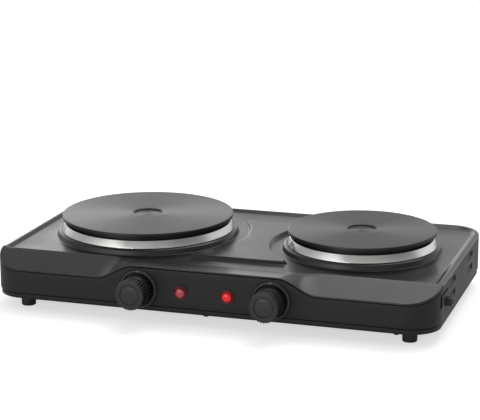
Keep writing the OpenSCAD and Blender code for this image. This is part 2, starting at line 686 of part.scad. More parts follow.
// Bezel ring with a V mark at its top
module bezel(side) {
    ro = bezel_d / 2;
    ri = bezel_bore / 2;
    color("#2a2a2b") in_body() translate([side * dial_x, front_y - fit_gap, dial_z]) rotate([90, 0, 0])
        difference() {
            rotate_extrude() polygon([[ri, 0], [ro, 0], [ro - 0.4, 1], [ro - 1.2, bezel_h - 0.4],
                [ro - 2, bezel_h], [ri + 0.6, bezel_h], [ri, bezel_h - 0.6]]);
            for (s = [-1, 1]) translate([0, ri + 0.7, bezel_h - 0.5]) rotate([0, 0, s * 40])
                translate([-0.25, 0, 0]) cube([0.5, 2.4, 2]);
        }
}
module left_bezel() { bezel(-1); }
module right_bezel() { bezel(1); }

// Lamp lens: domed head outside, hollow stem through the fascia
module lamp_lens(side) {
    r = lamp_d / 2;
    dome_r = (r * r + pow(lamp_out - 1, 2)) / (2 * (lamp_out - 1));
    color("#c21a20") in_body() translate([side * lamp_x, front_y - fit_gap, dial_z]) rotate([90, 0, 0])
        difference() {
            union() {
                cylinder(r = r, h = 1);
                intersection() {
                    translate([0, 0, lamp_out - dome_r]) sphere(r = dome_r);
                    translate([0, 0, 0.9]) cylinder(r = r, h = lamp_out);
                }
                translate([0, 0, -wall_t - 8]) cylinder(d = lamp_stem_d, h = wall_t + 8.5);
            }
            translate([0, 0, -wall_t - 9]) cylinder(d = lamp_stem_d - 2.4, h = wall_t + 9);
        }
}
module left_lamp_lens() { lamp_lens(-1); }
module right_lamp_lens() { lamp_lens(1); }
module neon_lamp(side) {
    r = lamp_stem_d / 2 - 1.2 - fit_gap;
    color("#d88a5a") in_body() translate([side * lamp_x, front_y + wall_t + 12, dial_z]) rotate([90, 0, 0])
        rotate_extrude() polygon([[0, 0], [r, 0], [r, 11], [r - 1.4, 13], [0, 13.8]]);
}
module left_neon_lamp() { neon_lamp(-1); }
module right_neon_lamp() { neon_lamp(1); }

// Gland in the right side wall, with a flange inside the wall and a bore for the cord
module cord_gland() {
    color("#141414") in_body() translate([body_w / 2, gland_y, gland_z]) difference() {
        union() {
            translate([-wall_t - 6, -gland_l / 2, -gland_w / 2]) cube([wall_t + 6 + gland_out, gland_l, gland_w]);
            translate([-wall_t - fit_gap - 2, -gland_l / 2 - 1.6, -gland_w / 2 - 1.6])
                cube([2, gland_l + 3.2, gland_w + 3.2]);
        }
        rotate([0, 90, 0]) cylinder(d = gland_bore, h = 60, center = true);
    }
}

// Three-way screw terminal for the mains leads, on the pan's floor behind the gland
mains_pole = 9.5;
module mains_terminal_block() {
    pole = mains_pole;
    color("#e6e6e2") in_body() translate([body_w / 2 - 6.5 * pole, gland_y - 2, floor_z]) difference() {
        union() {
            cube([3 * pole + 1, 2 * pole, 0.6 * pole]);
            for (i = [0:2]) translate([1 + i * pole, 0.2 * pole, 0]) cube([pole - 1, 1.6 * pole, 1.5 * pole]);
        }
        for (i = [0:2], y = [0.6, 1.4]) translate([(i + 0.5) * pole + 0.5, y * pole, 0.9 * pole])
            cylinder(d = 0.4 * pole, h = pole);
    }
}

top_cover();
side_frame();
base_pan();
foot_front_left();
foot_front_right();
foot_rear_left();
foot_rear_right();
foot_screws();
base_screws();
left_hot_plate();
right_hot_plate();
left_trim_ring();
right_trim_ring();
left_heating_coil();
right_heating_coil();
left_ceramic_bed();
right_ceramic_bed();
left_heat_shield();
right_heat_shield();
left_plate_stud();
right_plate_stud();
stud_nuts();
left_clamp_bridge();
right_clamp_bridge();
left_terminal_block();
right_terminal_block();
left_thermostat();
right_thermostat();
thermostat_screws();
left_control_shaft();
right_control_shaft();
left_knob();
right_knob();
left_knob_cap();
right_knob_cap();
left_bezel();
right_bezel();
left_lamp_lens();
right_lamp_lens();
left_neon_lamp();
right_neon_lamp();
cord_gland();
mains_terminal_block();
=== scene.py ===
import bisect
import math
import bpy
import bmesh
from mathutils import Matrix, Vector, geometry


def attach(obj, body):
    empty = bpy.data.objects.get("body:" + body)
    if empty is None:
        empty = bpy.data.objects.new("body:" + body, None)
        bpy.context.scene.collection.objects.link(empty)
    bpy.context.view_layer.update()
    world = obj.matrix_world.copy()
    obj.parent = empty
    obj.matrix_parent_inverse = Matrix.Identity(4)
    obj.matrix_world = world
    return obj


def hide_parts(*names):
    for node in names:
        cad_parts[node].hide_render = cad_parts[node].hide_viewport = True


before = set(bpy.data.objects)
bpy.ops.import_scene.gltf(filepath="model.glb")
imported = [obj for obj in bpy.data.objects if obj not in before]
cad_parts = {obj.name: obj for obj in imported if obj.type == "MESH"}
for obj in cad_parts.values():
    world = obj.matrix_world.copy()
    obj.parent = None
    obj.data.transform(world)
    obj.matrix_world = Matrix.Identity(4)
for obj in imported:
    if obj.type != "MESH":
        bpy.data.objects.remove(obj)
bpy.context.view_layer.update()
print("frame loaded")

# sizes in millimetres, taken from the solids; x and y count from the body's own middle
body = {
    "width": 469.0, "depth": 256.0, "cornerRadius": 32.0,
    "midX": -3.0, "midY": 13.25,
    "underside": 14.0, "deckZ": 56.8, "lipZ": 59.3, "skirtZ": 56.1, "sheet": 1.0,
    "panTop": 19.0, "frameFoot": 19.8, "panInset": 0.9, "wall": 2.5,
    "lipWidth": 9.5, "lipRadius": 2.8,
    "stripDepth": 32.0, "shelfDrop": 14.2, "consoleHalf": 76.0, "stepWidth": 40.0,
    "stripRise": 3.8, "ridgeFoot": 3.0, "deckRoom": 0.6, "skirtRoom": 0.3,
}
halfW = body["width"] / 2
halfD = body["depth"] / 2
frontY = -halfD
ridgeY = frontY + body["stripDepth"]
plates = {
    "left": {"x": -111.8, "y": 11.8, "radius": 92.5},
    "right": {"x": 126.8, "y": 11.8, "radius": 77.5},
}
heights = {"collarTop": 62.9, "ringFoot": 63.2, "skirtFoot": 64.4, "plateUnder": 74.6, "plateTop": 78.6}
dials = {"x": 69.8, "z": 36.4}


def toFrame(p):
    # millimetres about the body's middle, to metres in the row frame
    return ((p[0] + body["midX"]) / 1000, (p[1] + body["midY"]) / 1000, p[2] / 1000)


def newObject(name, mesh):
    item = bpy.data.objects.new(name, mesh)
    bpy.context.scene.collection.objects.link(item)
    return item


def meshFrom(name, verts, faces, place=toFrame):
    mesh = bpy.data.meshes.new(name)
    mesh.from_pydata([place(v) for v in verts], [], faces)
    mesh.update()
    for poly in mesh.polygons:
        poly.use_smooth = True
    return mesh


# points closer than this, in metres, are one, and edges sharper than the crease, in degrees, stay sharp
close = {"turned": 0.000001, "round": 0.000002, "wall": 0.00001, "deck": 0.00002}
creaseAngle = 50


def cleanNormals(mesh, merge=close["round"], crease=None):
    # joins doubled points, turns the faces outwards and marks edges sharper than the crease angle
    work = bmesh.new()
    work.from_mesh(mesh)
    bmesh.ops.remove_doubles(work, verts=work.verts, dist=merge)
    bmesh.ops.recalc_face_normals(work, faces=work.faces)
    if crease:
        for edge in work.edges:
            edge.smooth = not (edge.is_manifold and edge.calc_face_angle(0) > math.radians(crease))
    work.to_mesh(mesh)
    work.free()


def addPiece(name, mesh, material, bodyName="root", replaces=()):
    # a finished piece: its finish, the body it rides on and the solids it stands for
    piece = newObject(name, mesh)
    if material:
        mesh.materials.clear()
        mesh.materials.append(material)
    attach(piece, bodyName)
    if replaces:
        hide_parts(*replaces)
    return piece


def smoothStep(t):
    t = min(1.0, max(0.0, t))
    return t * t * (3 - 2 * t)


def edgeRound(d, r):
    # how far a rounded edge of radius r lies below its face, at the distance d from its corner
    return 0.0 if d >= r else r - math.sqrt(max(0.0, r * r - (r - d) ** 2))


def rounded(points, steps=5, closed=False):
    # polyline whose corners (x, y, radius) are turned into arcs
    out = []
    count = len(points)
    for i, p in enumerate(points):
        radius = p[2] if len(p) > 2 else 0
        if radius == 0 or (not closed and i in (0, count - 1)):
            out.append((p[0], p[1]))
            continue
        here = Vector((p[0], p[1]))
        before = Vector(points[i - 1][:2]) - here
        after = Vector(points[(i + 1) % count][:2]) - here
        angle = before.angle(after)
        reach = min(radius / math.tan(angle / 2), before.length * 0.49, after.length * 0.49)
        start = here + before.normalized() * reach
        end = here + after.normalized() * reach
        for k in range(steps + 1):
            t = k / steps
            point = start * (1 - t) ** 2 + here * 2 * t * (1 - t) + end * t ** 2
            out.append((point.x, point.y))
    return out


def revolve(profile, cx=0.0, cy=0.0, segments=224, closed=False):
    # profile of (radius, height) turned about an upright axis; an end at radius 0 is closed by a fan
    verts, faces, rows = [], [], []
    for r, z in profile:
        if r < 0.001:
            rows.append([len(verts)] * segments)
            verts.append((cx, cy, z))
            continue
        rows.append([len(verts) + k for k in range(segments)])
        for k in range(segments):
            a = 2 * math.pi * k / segments
            verts.append((cx + r * math.cos(a), cy + r * math.sin(a), z))
    count = len(rows)
    for i in range(count if closed else count - 1):
        low, high = rows[i], rows[(i + 1) % count]
        for k in range(segments):
            n = (k + 1) % segments
            ring = list(dict.fromkeys((low[k], low[n], high[n], high[k])))
            if len(ring) > 2:
                faces.append(tuple(ring))
    return verts, faces


def facingFront(cx, cz):
    # places a piece made upright so that its height points out of the front wall
    def place(p):
        return toFrame((cx + p[0], frontY - p[2], cz + p[1]))
    return place


def joinParts(parts):
    # several (verts, faces) lists in one
    verts, faces = [], []
    for v, f in parts:
        base = len(verts)
        verts += v
        faces += [tuple(base + i for i in face) for face in f]
    return verts, faces


def bandFaces(rows, count, rowsClosed=False, ringClosed=True):
    # quads between neighbouring rows of count points
    faces = []
    for i in range(rows if rowsClosed else rows - 1):
        j = (i + 1) % rows
        for k in range(count if ringClosed else count - 1):
            n = (k + 1) % count
            faces.append((i * count + k, i * count + n, j * count + n, j * count + k))
    return faces


def inMillimetres(p):
    # a unit stays at the origin, in millimetres turned to metres
    return (p[0] / 1000, p[1] / 1000, p[2] / 1000)


def unitFrom(name, verts, faces, crease=creaseAngle):
    # a clean mesh of one unit that is repeated
    mesh = meshFrom(name, verts, faces, inMillimetres)
    cleanNormals(mesh, close["turned"], crease)
    return mesh


def linear(hexColour):
    out = []
    for i in (1, 3, 5):
        c = int(hexColour[i:i + 2], 16) / 255
        out.append(c / 12.92 if c <= 0.04045 else ((c + 0.055) / 1.055) ** 2.4)
    return (*out, 1.0)


def addNode(tree, kind, settings=None, inputs=None, links=None):
    # one node, its settings, its input values and the sockets that feed it
    item = tree.nodes.new(kind)
    for key, value in (settings or {}).items():
        setattr(item, key, value)
    for key, value in (inputs or {}).items():
        item.inputs[key].default_value = value
    for key, source in (links or {}).items():
        tree.links.new(source, item.inputs[key])
    return item


def startTree(name, ownInput):
    # a repeat tree's inputs, with one (name, kind) that only this tree has
    tree = bpy.data.node_groups.new(name, "GeometryNodeTree")
    ids = {}
    for socket, kind in (("Base", "NodeSocketGeometry"), ("Unit", "NodeSocketObject"), ownInput,
                         ("Finish", "NodeSocketMaterial")):
        ids[socket] = tree.interface.new_socket(name=socket, in_out="INPUT", socket_type=kind).identifier
    tree.interface.new_socket(name="Geometry", in_out="OUTPUT", socket_type="NodeSocketGeometry")
    given = tree.nodes.new("NodeGroupInput").outputs
    unit = addNode(tree, "GeometryNodeObjectInfo", None, None, {"Object": given["Unit"]})
    return tree, ids, given, unit.outputs["Geometry"]


def endTree(tree, given, shape):
    # gives the shape its finish and leads it out
    painted = addNode(tree, "GeometryNodeSetMaterial", None, None,
                      {"Geometry": shape, "Material": given["Finish"]})
    out = tree.nodes.new("NodeGroupOutput")
    tree.links.new(painted.outputs["Geometry"], out.inputs[0])


def makeRingTree():
    # copies of one unit, evenly turned round the z axis, joined to the base mesh
    tree, ids, given, unit = startTree("ringOfUnits", ("Count", "NodeSocketInt"))
    points = addNode(tree, "GeometryNodePoints", None, None, {"Count": given["Count"]})
    order = tree.nodes.new("GeometryNodeInputIndex")
    step = addNode(tree, "ShaderNodeMath", {"operation": "DIVIDE"}, {0: 2 * math.pi}, {1: given["Count"]})
    turn = addNode(tree, "ShaderNodeMath", {"operation": "MULTIPLY"}, None,
                   {0: order.outputs["Index"], 1: step.outputs["Value"]})
    spin = addNode(tree, "ShaderNodeCombineXYZ", None, None, {"Z": turn.outputs["Value"]})
    copies = addNode(tree, "GeometryNodeInstanceOnPoints", None, None,
                     {"Points": points.outputs[0], "Instance": unit, "Rotation": spin.outputs["Vector"]})
    real = addNode(tree, "GeometryNodeRealizeInstances", None, None,
                   {"Geometry": copies.outputs["Instances"]})
    joined = addNode(tree, "GeometryNodeJoinGeometry")
    tree.links.new(given["Base"], joined.inputs[0])
    tree.links.new(real.outputs["Geometry"], joined.inputs[0])
    endTree(tree, given, joined.outputs["Geometry"])
    return tree, ids


def makePointTree():
    # one unit on each point of the base mesh, turned by the point's "turn" attribute
    tree, ids, given, unit = startTree("unitsOnPoints", ("Scale", "NodeSocketFloat"))
    turn = addNode(tree, "GeometryNodeInputNamedAttribute", {"data_type": "FLOAT"}, {"Name": "turn"})
    spin = addNode(tree, "ShaderNodeCombineXYZ", None, None, {"Z": turn.outputs["Attribute"]})
    copies = addNode(tree, "GeometryNodeInstanceOnPoints", None, None,
                     {"Points": given["Base"], "Instance": unit, "Rotation": spin.outputs["Vector"],
                      "Scale": given["Scale"]})
    real = addNode(tree, "GeometryNodeRealizeInstances", None, None,
                   {"Geometry": copies.outputs["Instances"]})
    endTree(tree, given, real.outputs["Geometry"])
    return tree, ids


ringTree = makeRingTree()
pointTree = makePointTree()
print("repeat trees made")


def runTree(name, treeAndIds, base, unitMesh, material, ownInput, ownValue):
    # runs a repeat tree once on a base mesh and returns the plain mesh that it makes
    tree, ids = treeAndIds
    unit = newObject(name + "Unit", unitMesh)
    holder = newObject(name + "Base", base)
    modifier = holder.modifiers.new("repeat", "NODES")
    modifier.node_group = tree
    modifier[ids["Unit"]] = unit
    modifier[ids["Finish"]] = material
    modifier[ids[ownInput]] = ownValue
    graph = bpy.context.evaluated_depsgraph_get()
    mesh = bpy.data.meshes.new_from_object(holder.evaluated_get(graph))
    mesh.name = name
    holder.modifiers.clear()
    bpy.data.objects.remove(holder)
    bpy.data.objects.remove(unit)
    return mesh


def copiesAt(name, unitMesh, places, material):
    # units at (x, y, z, turn) in millimetres about the body's middle
    base = meshFrom(name, [p[:3] for p in places], [])
    turns = base.attributes.new("turn", "FLOAT", "POINT")
    for item, p in zip(turns.data, places):
        item.value = math.radians(p[3])
    return runTree(name, pointTree, base, unitMesh, material, "Scale", 1.0)


def newMaterial(name):
    # an empty material with its output and the object's own coordinates
    material = bpy.data.materials.new(name)
    material.use_nodes = True
    tree = material.node_tree
    tree.nodes.clear()
    output = tree.nodes.new("ShaderNodeOutputMaterial")
    coords = addNode(tree, "ShaderNodeTexCoord").outputs["Object"]
    return material, tree, output, coords


def setRamp(item, stops):
    ramp = item.color_ramp
    while len(ramp.elements) < len(stops):
        ramp.elements.new(0.5)
    for element, (place, colour) in zip(ramp.elements, stops):
        element.position = place
        element.color = colour


def patches(tree, coords, size, dark, light, soft=0.2, detail=2.0):
    # soft patches about size millimetres wide between two colours; gives their colour and the pattern
    pattern = addNode(tree, "ShaderNodeTexNoise", None, {"Scale": 1000 / size, "Detail": detail},
                      {"Vector": coords}).outputs["Fac"]
    colour = addNode(tree, "ShaderNodeValToRGB", None, None, {"Fac": pattern})
    setRamp(colour, [(0.5 - soft, linear(dark)), (0.5 + soft, linear(light))])
    return colour.outputs["Color"], pattern


def grain(tree, coords, size, strength, depth=0.0001, detail=2.0):
    # a bumpy skin with grains about size millimetres wide; gives its normal and the pattern
    pattern = addNode(tree, "ShaderNodeTexNoise", None, {"Scale": 1000 / size, "Detail": detail},
                      {"Vector": coords}).outputs["Fac"]
    bump = addNode(tree, "ShaderNodeBump", None, {"Strength": strength, "Distance": depth},
                   {"Height": pattern})
    return bump.outputs["Normal"], pattern


def fromCentre(tree, coords, centre, plane):
    # distance from a centre within the plane of the axes marked 1
    shifted = addNode(tree, "ShaderNodeMapping", None, {"Location": [-value for value in centre]},
                      {"Vector": coords})
    flat = addNode(tree, "ShaderNodeVectorMath", {"operation": "MULTIPLY"}, {1: plane},
                   {0: shifted.outputs["Vector"]})
    return addNode(tree, "ShaderNodeVectorMath", {"operation": "LENGTH"}, None,
                   {0: flat.outputs["Vector"]}).outputs["Value"]


def paintMaterial(name, settings):
    # paint on sheet: a soft sheen with faint orange peel, slightly clouded in colour and gloss
    material, tree, output, coords = newMaterial(name)
    normal = grain(tree, coords, settings["peelSize"], settings["peel"], 0.0002)[0]
    colour, cloud = patches(tree, coords, settings["cloudSize"], settings["dark"], settings["light"],
                            0.15, 3.0)
    rough = addNode(tree, "ShaderNodeMapRange", None,
                    {"From Min": 0.3, "From Max": 0.7, "To Min": settings["roughness"] - 0.03,
                     "To Max": settings["roughness"] + 0.05}, {"Value": cloud})
    shader = addNode(tree, "ShaderNodeBsdfPrincipled", None,
                     {"Specular IOR Level": settings["specular"], "Coat Weight": settings["coat"],
                      "Coat Roughness": settings["coatRoughness"]},
                     {"Base Color": colour, "Roughness": rough.outputs["Result"], "Normal": normal})
    tree.links.new(shader.outputs["BSDF"], output.inputs["Surface"])
    return material


def plasticMaterial(name, dark, light, roughness, grainSize, strength):
    # moulded plastic: spark-eroded grain breaks the highlight up; it's drawn coarser than the real tenth of
    # a millimetre, so that it shows
    material, tree, output, coords = newMaterial(name)
    colour = patches(tree, coords, 16, dark, light)[0]
    normal = grain(tree, coords, grainSize, strength)[0]
    shader = addNode(tree, "ShaderNodeBsdfPrincipled", None, {"Roughness": roughness},
                     {"Base Color": colour, "Normal": normal})
    tree.links.new(shader.outputs["BSDF"], output.inputs["Surface"])
    return material


def metalMaterial(name, settings):
    # metal with light rolling marks in its roughness; a turned one stretches its highlights round the centre
    material, tree, output, coords = newMaterial(name)
    normal, marks = grain(tree, coords, settings["markSize"], settings["bump"], 0.0001, 3.0)
    rough = addNode(tree, "ShaderNodeMapRange", None,
                    {"From Min": 0.3, "From Max": 0.7, "To Min": settings["roughness"] * 0.8,
                     "To Max": settings["roughness"] * 1.25}, {"Value": marks})
    shader = addNode(tree, "ShaderNodeBsdfPrincipled", None,
                     {"Metallic": 1.0, "Anisotropic": settings.get("anisotropy", 0.0),
                      "Anisotropic Rotation": 0.25, "Base Color": linear(settings["colour"])},
                     {"Roughness": rough.outputs["Result"], "Normal": normal})
    # a darker colour, where given, is painted in soft patches: painted reflection, standing for dark
    # reflections in polished metal
    if "dark" in settings:
        colour = patches(tree, coords, settings["cloudSize"], settings["dark"], settings["colour"], 0.15)[0]
        tree.links.new(colour, shader.inputs["Base Color"])
    if "anisotropy" in settings:
        tangent = addNode(tree, "ShaderNodeTangent", {"direction_type": "UV_MAP", "uv_map": "turning"})
        tree.links.new(tangent.outputs["Tangent"], shader.inputs["Tangent"])
    tree.links.new(shader.outputs["BSDF"], output.inputs["Surface"])
    return material


def plateMaterial(name, side, settings):
    # cast iron, turned flat and blacked: fine rings round the centre stretch the highlights
    material, tree, output, coords = newMaterial(name)
    centre = toFrame((plates[side]["x"], plates[side]["y"], 0))
    turns = addNode(tree, "ShaderNodeMath", {"operation": "MULTIPLY"},
                    {1: 2 * math.pi * 1000 / settings["pitch"]},
                    {0: fromCentre(tree, coords, centre, (1, 1, 0))})
    wave = addNode(tree, "ShaderNodeMath", {"operation": "SINE"}, None, {0: turns.outputs["Value"]})
    pits = addNode(tree, "ShaderNodeTexNoise", None, {"Scale": 1000 / settings["pitSize"]},
                   {"Vector": coords})
    height = addNode(tree, "ShaderNodeMath", {"operation": "MULTIPLY_ADD"}, {1: settings["ringShare"]},
                     {0: wave.outputs["Value"], 2: pits.outputs["Fac"]})
    bump = addNode(tree, "ShaderNodeBump", None, {"Strength": settings["bump"], "Distance": 0.0001},
                   {"Height": height.outputs["Value"]})
    colour = patches(tree, coords, settings["cloudSize"], settings["dark"], settings["light"], 0.2, 4.0)[0]
    tangent = addNode(tree, "ShaderNodeTangent", {"direction_type": "UV_MAP", "uv_map": "turning"})
    shader = addNode(tree, "ShaderNodeBsdfPrincipled", None,
                     {"Metallic": settings["metallic"], "Roughness": settings["roughness"],
                      "Anisotropic": settings["anisotropy"], "Anisotropic Rotation": 0.25},
                     {"Base Color": colour, "Normal": bump.outputs["Normal"],
                      "Tangent": tangent.outputs["Tangent"]})
    tree.links.new(shader.outputs["BSDF"], output.inputs["Surface"])
    return material


def lensMaterial(name, settings, axis=None):
    # tinted acrylic: glossy, and a glow where its lamp is lit; round an axis the colour is painted light and
    # shade: pale in the middle where the lamp's diffuser shows through, deepening to a painted dark red shade
    # towards the thick rim
    material, tree, output, coords = newMaterial(name)
    colour = patches(tree, coords, 3.3, settings["dark"], settings["light"])[0]
    shader = addNode(tree, "ShaderNodeBsdfPrincipled", None,
                     {"Roughness": settings["roughness"], "IOR": 1.49,
                      "Transmission Weight": settings["clear"], "Emission Color": linear(settings["glow"]),
                      "Emission Strength": settings["glowPower"]},
                     {"Base Color": colour})
    if axis:
        share = addNode(tree, "ShaderNodeMath", {"operation": "MULTIPLY"}, {1: 1000 / lamps["radius"]},
                        {0: fromCentre(tree, coords, axis, (1, 0, 1))}).outputs["Value"]
        pale, deep, edge = settings["pale"], settings["deep"], linear(settings["edge"])
        # painted light and shade by the distance from the axis: the glow and the colour are pale in the
        # middle and darken to the edge colour at the rim
        glow = addNode(tree, "ShaderNodeValToRGB", None, None, {"Fac": share})
        setRamp(glow, [(pale, linear(settings["glow"])), (deep, edge)])
        shade = addNode(tree, "ShaderNodeValToRGB", None, None, {"Fac": share})
        setRamp(shade, [(pale, (1, 1, 1, 1)), (deep, edge)])
        tinted = addNode(tree, "ShaderNodeVectorMath", {"operation": "MULTIPLY"}, None,
                         {0: shade.outputs["Color"], 1: colour})
        tree.links.new(tinted.outputs["Vector"], shader.inputs["Base Color"])
        tree.links.new(glow.outputs["Color"], shader.inputs["Emission Color"])
    tree.links.new(shader.outputs["BSDF"], output.inputs["Surface"])
    return material


# the deck's enamel is glossy enough to mirror the pale room at its far side
deckPaint = paintMaterial("stovedBlackEnamel", {
    "dark": "#101011", "light": "#151516", "roughness": 0.28, "specular": 0.4, "coat": 0.15,
    "coatRoughness": 0.18, "peelSize": 2.2, "cloudSize": 60, "peel": 0.03})
# the frame's powder coat is duller than the deck
framePaint = paintMaterial("blackPowderCoat", {
    "dark": "#171718", "light": "#1d1d1e", "roughness": 0.5, "specular": 0.3, "coat": 0.0,
    "coatRoughness": 0.3, "peelSize": 0.9, "cloudSize": 50, "peel": 0.08})
# the pan's paint is thin and nearly matt
panPaint = paintMaterial("blackPanPaint", {
    "dark": "#131313", "light": "#181818", "roughness": 0.5, "specular": 0.3, "coat": 0.0,
    "coatRoughness": 0.3, "peelSize": 0.9, "cloudSize": 40, "peel": 0.08})
# bright rings; soft patches of a darker steel colour are painted in, a painted reflection that stands for the
# dark reflections in the polished metal
ringSteel = metalMaterial("polishedStainless", {
    "colour": "#dcdcda", "dark": "#c4c4c2", "cloudSize": 55, "roughness": 0.18, "markSize": 14, "bump": 0.01,
    "anisotropy": 0.4})
# spangled zinc on sheet
shieldSteel = metalMaterial("galvanisedSheet", {
    "colour": "#a4a6a8", "roughness": 0.4, "markSize": 6, "bump": 0.1})
# screws and shafts, clear zinc
zincSteel = metalMaterial("zincPlatedSteel", {
    "colour": "#9b9c9f", "roughness": 0.3, "markSize": 1, "bump": 0.08})
# the screws under the body, blackened so that they vanish in its shade
blackSteel = metalMaterial("blackenedSteel", {
    "colour": "#2c2c2e", "roughness": 0.4, "markSize": 1, "bump": 0.08})
# sheath browned by heat
coilBrown = metalMaterial("oxidisedCoil", {
    "colour": "#5c4638", "roughness": 0.6, "markSize": 1.5, "bump": 0.3})
# plastics: darkest and lightest colour, roughness, size of the grain in millimetres and its strength
# knobs, dark and slightly shiny on the grip's crests
knobPlastic = plasticMaterial("blackPhenolic", "#141415", "#18181a", 0.34, 0.5, 0.12)
# caps, a shade lighter and smoother than the knobs
capPlastic = plasticMaterial("satinAbsCap", "#1b1b1d", "#202022", 0.32, 0.6, 0.06)
# bezels, satin, their edges catch the light
bezelPlastic = plasticMaterial("satinBezelAbs", "#1e1e20", "#242426", 0.36, 0.5, 0.1)
# the pointer's paint, a worn grey
markGrey = plasticMaterial("greyMarkPaint", "#8c8c8e", "#98989a", 0.45, 0.5, 0.05)
# feet, dull and even
footRubber = plasticMaterial("blackRubber", "#121212", "#171717", 0.6, 0.8, 0.3)
# gland, moulded with a matt grain
glandPlastic = plasticMaterial("blackNylon", "#131313", "#191919", 0.5, 0.6, 0.15)
# heater beds, pressed and fired, chalky
ceramicWhite = plasticMaterial("magnesiaCeramic", "#cfc6b4", "#ded6c6", 0.8, 0.9, 0.4)
# terminal blocks and thermostats, fired hard and slightly silky
steatiteWhite = plasticMaterial("steatite", "#dcd7cb", "#e8e3d8", 0.5, 0.7, 0.2)
# mains terminal block, plain white and a little waxy
terminalWhite = plasticMaterial("polyamideWhite", "#dcdcd8", "#e8e8e4", 0.45, 0.6, 0.1)
# turned iron, blacked, with a broad soft gloss; the pitch of its turning marks, in millimetres, is drawn
# coarser than a lathe leaves it, so that they show
plateFinish = {"dark": "#323233", "light": "#3c3c3d", "cloudSize": 36, "roughness": 0.36, "metallic": 0.75,
               "anisotropy": 0.6, "pitch": 1.2, "ringShare": 0.35, "pitSize": 3.8, "bump": 0.12}
plateIron = {side: plateMaterial("turnedCastIron" + side.title(), side, plateFinish) for side in plates}
# the lens's rim, thick acrylic that looks nearly black
lensRim = lensMaterial("redAcrylicRim", {"dark": "#5c0c10", "light": "#6c1014", "glow": "#700808",
                                         "glowPower": 0.05, "clear": 0.1, "roughness": 0.2})
# the neon lamp's bulb, clear with an orange glow
neonGlass = lensMaterial("neonGlass", {"dark": "#d8a080", "light": "#e0b090", "glow": "#ff6a20",
                                       "glowPower": 0.5, "clear": 0.6, "roughness": 0.1})
print("materials made")

island = {"height": 3.5, "front": -73.0, "back": 79.0, "channel": 11.0, "slope": 2.6, "straight": 58.0,
          "cornerSoft": 5.0, "cornerShare": 0.35, "margin": 3}
collar = {"reach": 6.0, "rise": 1.4, "shoulder": 1.6, "crown": 1.2, "seatInset": 8.5, "seatRound": 0.6,
          "apron": 3}
# the sheet's bends: the front edge's radius, how far back it grows to the lip's, how soft the ridge is,
# where the deck is flat behind it, and where the lip's slope starts behind its round edge
bends = {"frontRound": 0.7, "roundFade": 9.0, "soft": 1.3, "flatFrom": 6, "slopeFrom": 1}


def stripHeight(x, v):
    # height of the front strip and shelves, v behind the front edge
    level = body["deckZ"] + body["stripRise"] * max(0.0, 1 - v / body["stripDepth"])
    past = v - body["stripDepth"]
    if past <= 0:
        shelf = body["lipZ"] - body["shelfDrop"] * (1 - v / body["stripDepth"])
    else:
        shelf = body["lipZ"] - (body["lipZ"] - body["deckZ"]) * smoothStep(past / body["ridgeFoot"])
    share = smoothStep((abs(x) - body["consoleHalf"]) / body["stepWidth"])
    return level * (1 - share) + shelf * share


def softStrip(x, v):
    # the same with the crest and the foot rounded as pressed sheet is
    reach = bends["soft"]
    return sum(stripHeight(x, max(0.0, v + reach * (k - 3) / 3)) for k in range(7)) / 7


def insetDistance(x, y):
    # distance inwards from the rounded outline of the body
    radius = body["cornerRadius"]
    qx = abs(x) - (halfW - radius)
    qy = abs(y) - (halfD - radius)
    if qx > 0 and qy > 0:
        return radius - math.hypot(qx, qy)
    return radius - max(qx, qy)


def deckHeight(x, y):
    # the sheet's height: border lip, front strip, and the island between the plates
    d = insetDistance(x, y)
    v = y - frontY
    fade, front, soft = smoothStep((y - ridgeY) / bends["roundFade"]), bends["frontRound"], bends["soft"]
    edge = edgeRound(d, front + (body["lipRadius"] - front) * fade)
    strip = softStrip(x, v) if v < body["stripDepth"] + bends["flatFrom"] else body["deckZ"]
    slopeStart = body["lipRadius"] + bends["slopeFrom"]
    down = smoothStep((d - slopeStart) / (body["lipWidth"] - slopeStart))
    lip = body["lipZ"] - (body["lipZ"] - body["deckZ"]) * down
    height = strip + max(0.0, lip - strip) * smoothStep((y - ridgeY + soft) / (2 * soft))
    if y > island["front"] - island["margin"]:
        height = max(height, islandHeight(x, y))
    return height - edge


def islandInset(x, y):
    # distance inside the island's outline, its corners rounded by a smooth minimum
    walls = [math.hypot(x - p["x"], y - p["y"]) - p["radius"] - collar["reach"] - island["channel"]
             for p in plates.values()]
    walls += [plates["right"]["x"] - island["straight"] - x, y - island["front"], island["back"] - y]
    lowest, soft, share = min(walls), island["cornerSoft"], island["cornerShare"]
    return lowest - soft * math.log(sum(math.exp(-(w - lowest) / soft) for w in walls)) * share


def islandHeight(x, y):
    # the raised middle of the deck
    if x < plates["left"]["x"] or x > plates["right"]["x"]:
        return body["deckZ"]
    return body["deckZ"] + island["height"] * smoothStep(islandInset(x, y) / island["slope"])


def outlinePoints(inset, step=2.0, arcSteps=30):
    # rounded outline set in by a distance, anticlockwise from the front right corner's start
    r = body["cornerRadius"] - inset
    w, d = halfW - body["cornerRadius"], halfD - body["cornerRadius"]
    corners = [(w, -d, -90), (w, d, 0), (-w, d, 90), (-w, -d, 180)]
    points = []
    for i, (cx, cy, start) in enumerate(corners):
        for k in range(arcSteps + 1):
            a = math.radians(start + 90 * k / arcSteps)
            points.append((cx + r * math.cos(a), cy + r * math.sin(a)))
        nx, ny, nstart = corners[(i + 1) % 4]
        a = math.radians(nstart)
        target = (nx + r * math.cos(a), ny + r * math.sin(a))
        begin = points[-1]
        count = max(2, int(math.dist(begin, target) / step))
        for k in range(1, count):
            t = k / count
            points.append((begin[0] + (target[0] - begin[0]) * t, begin[1] + (target[1] - begin[1]) * t))
    return points


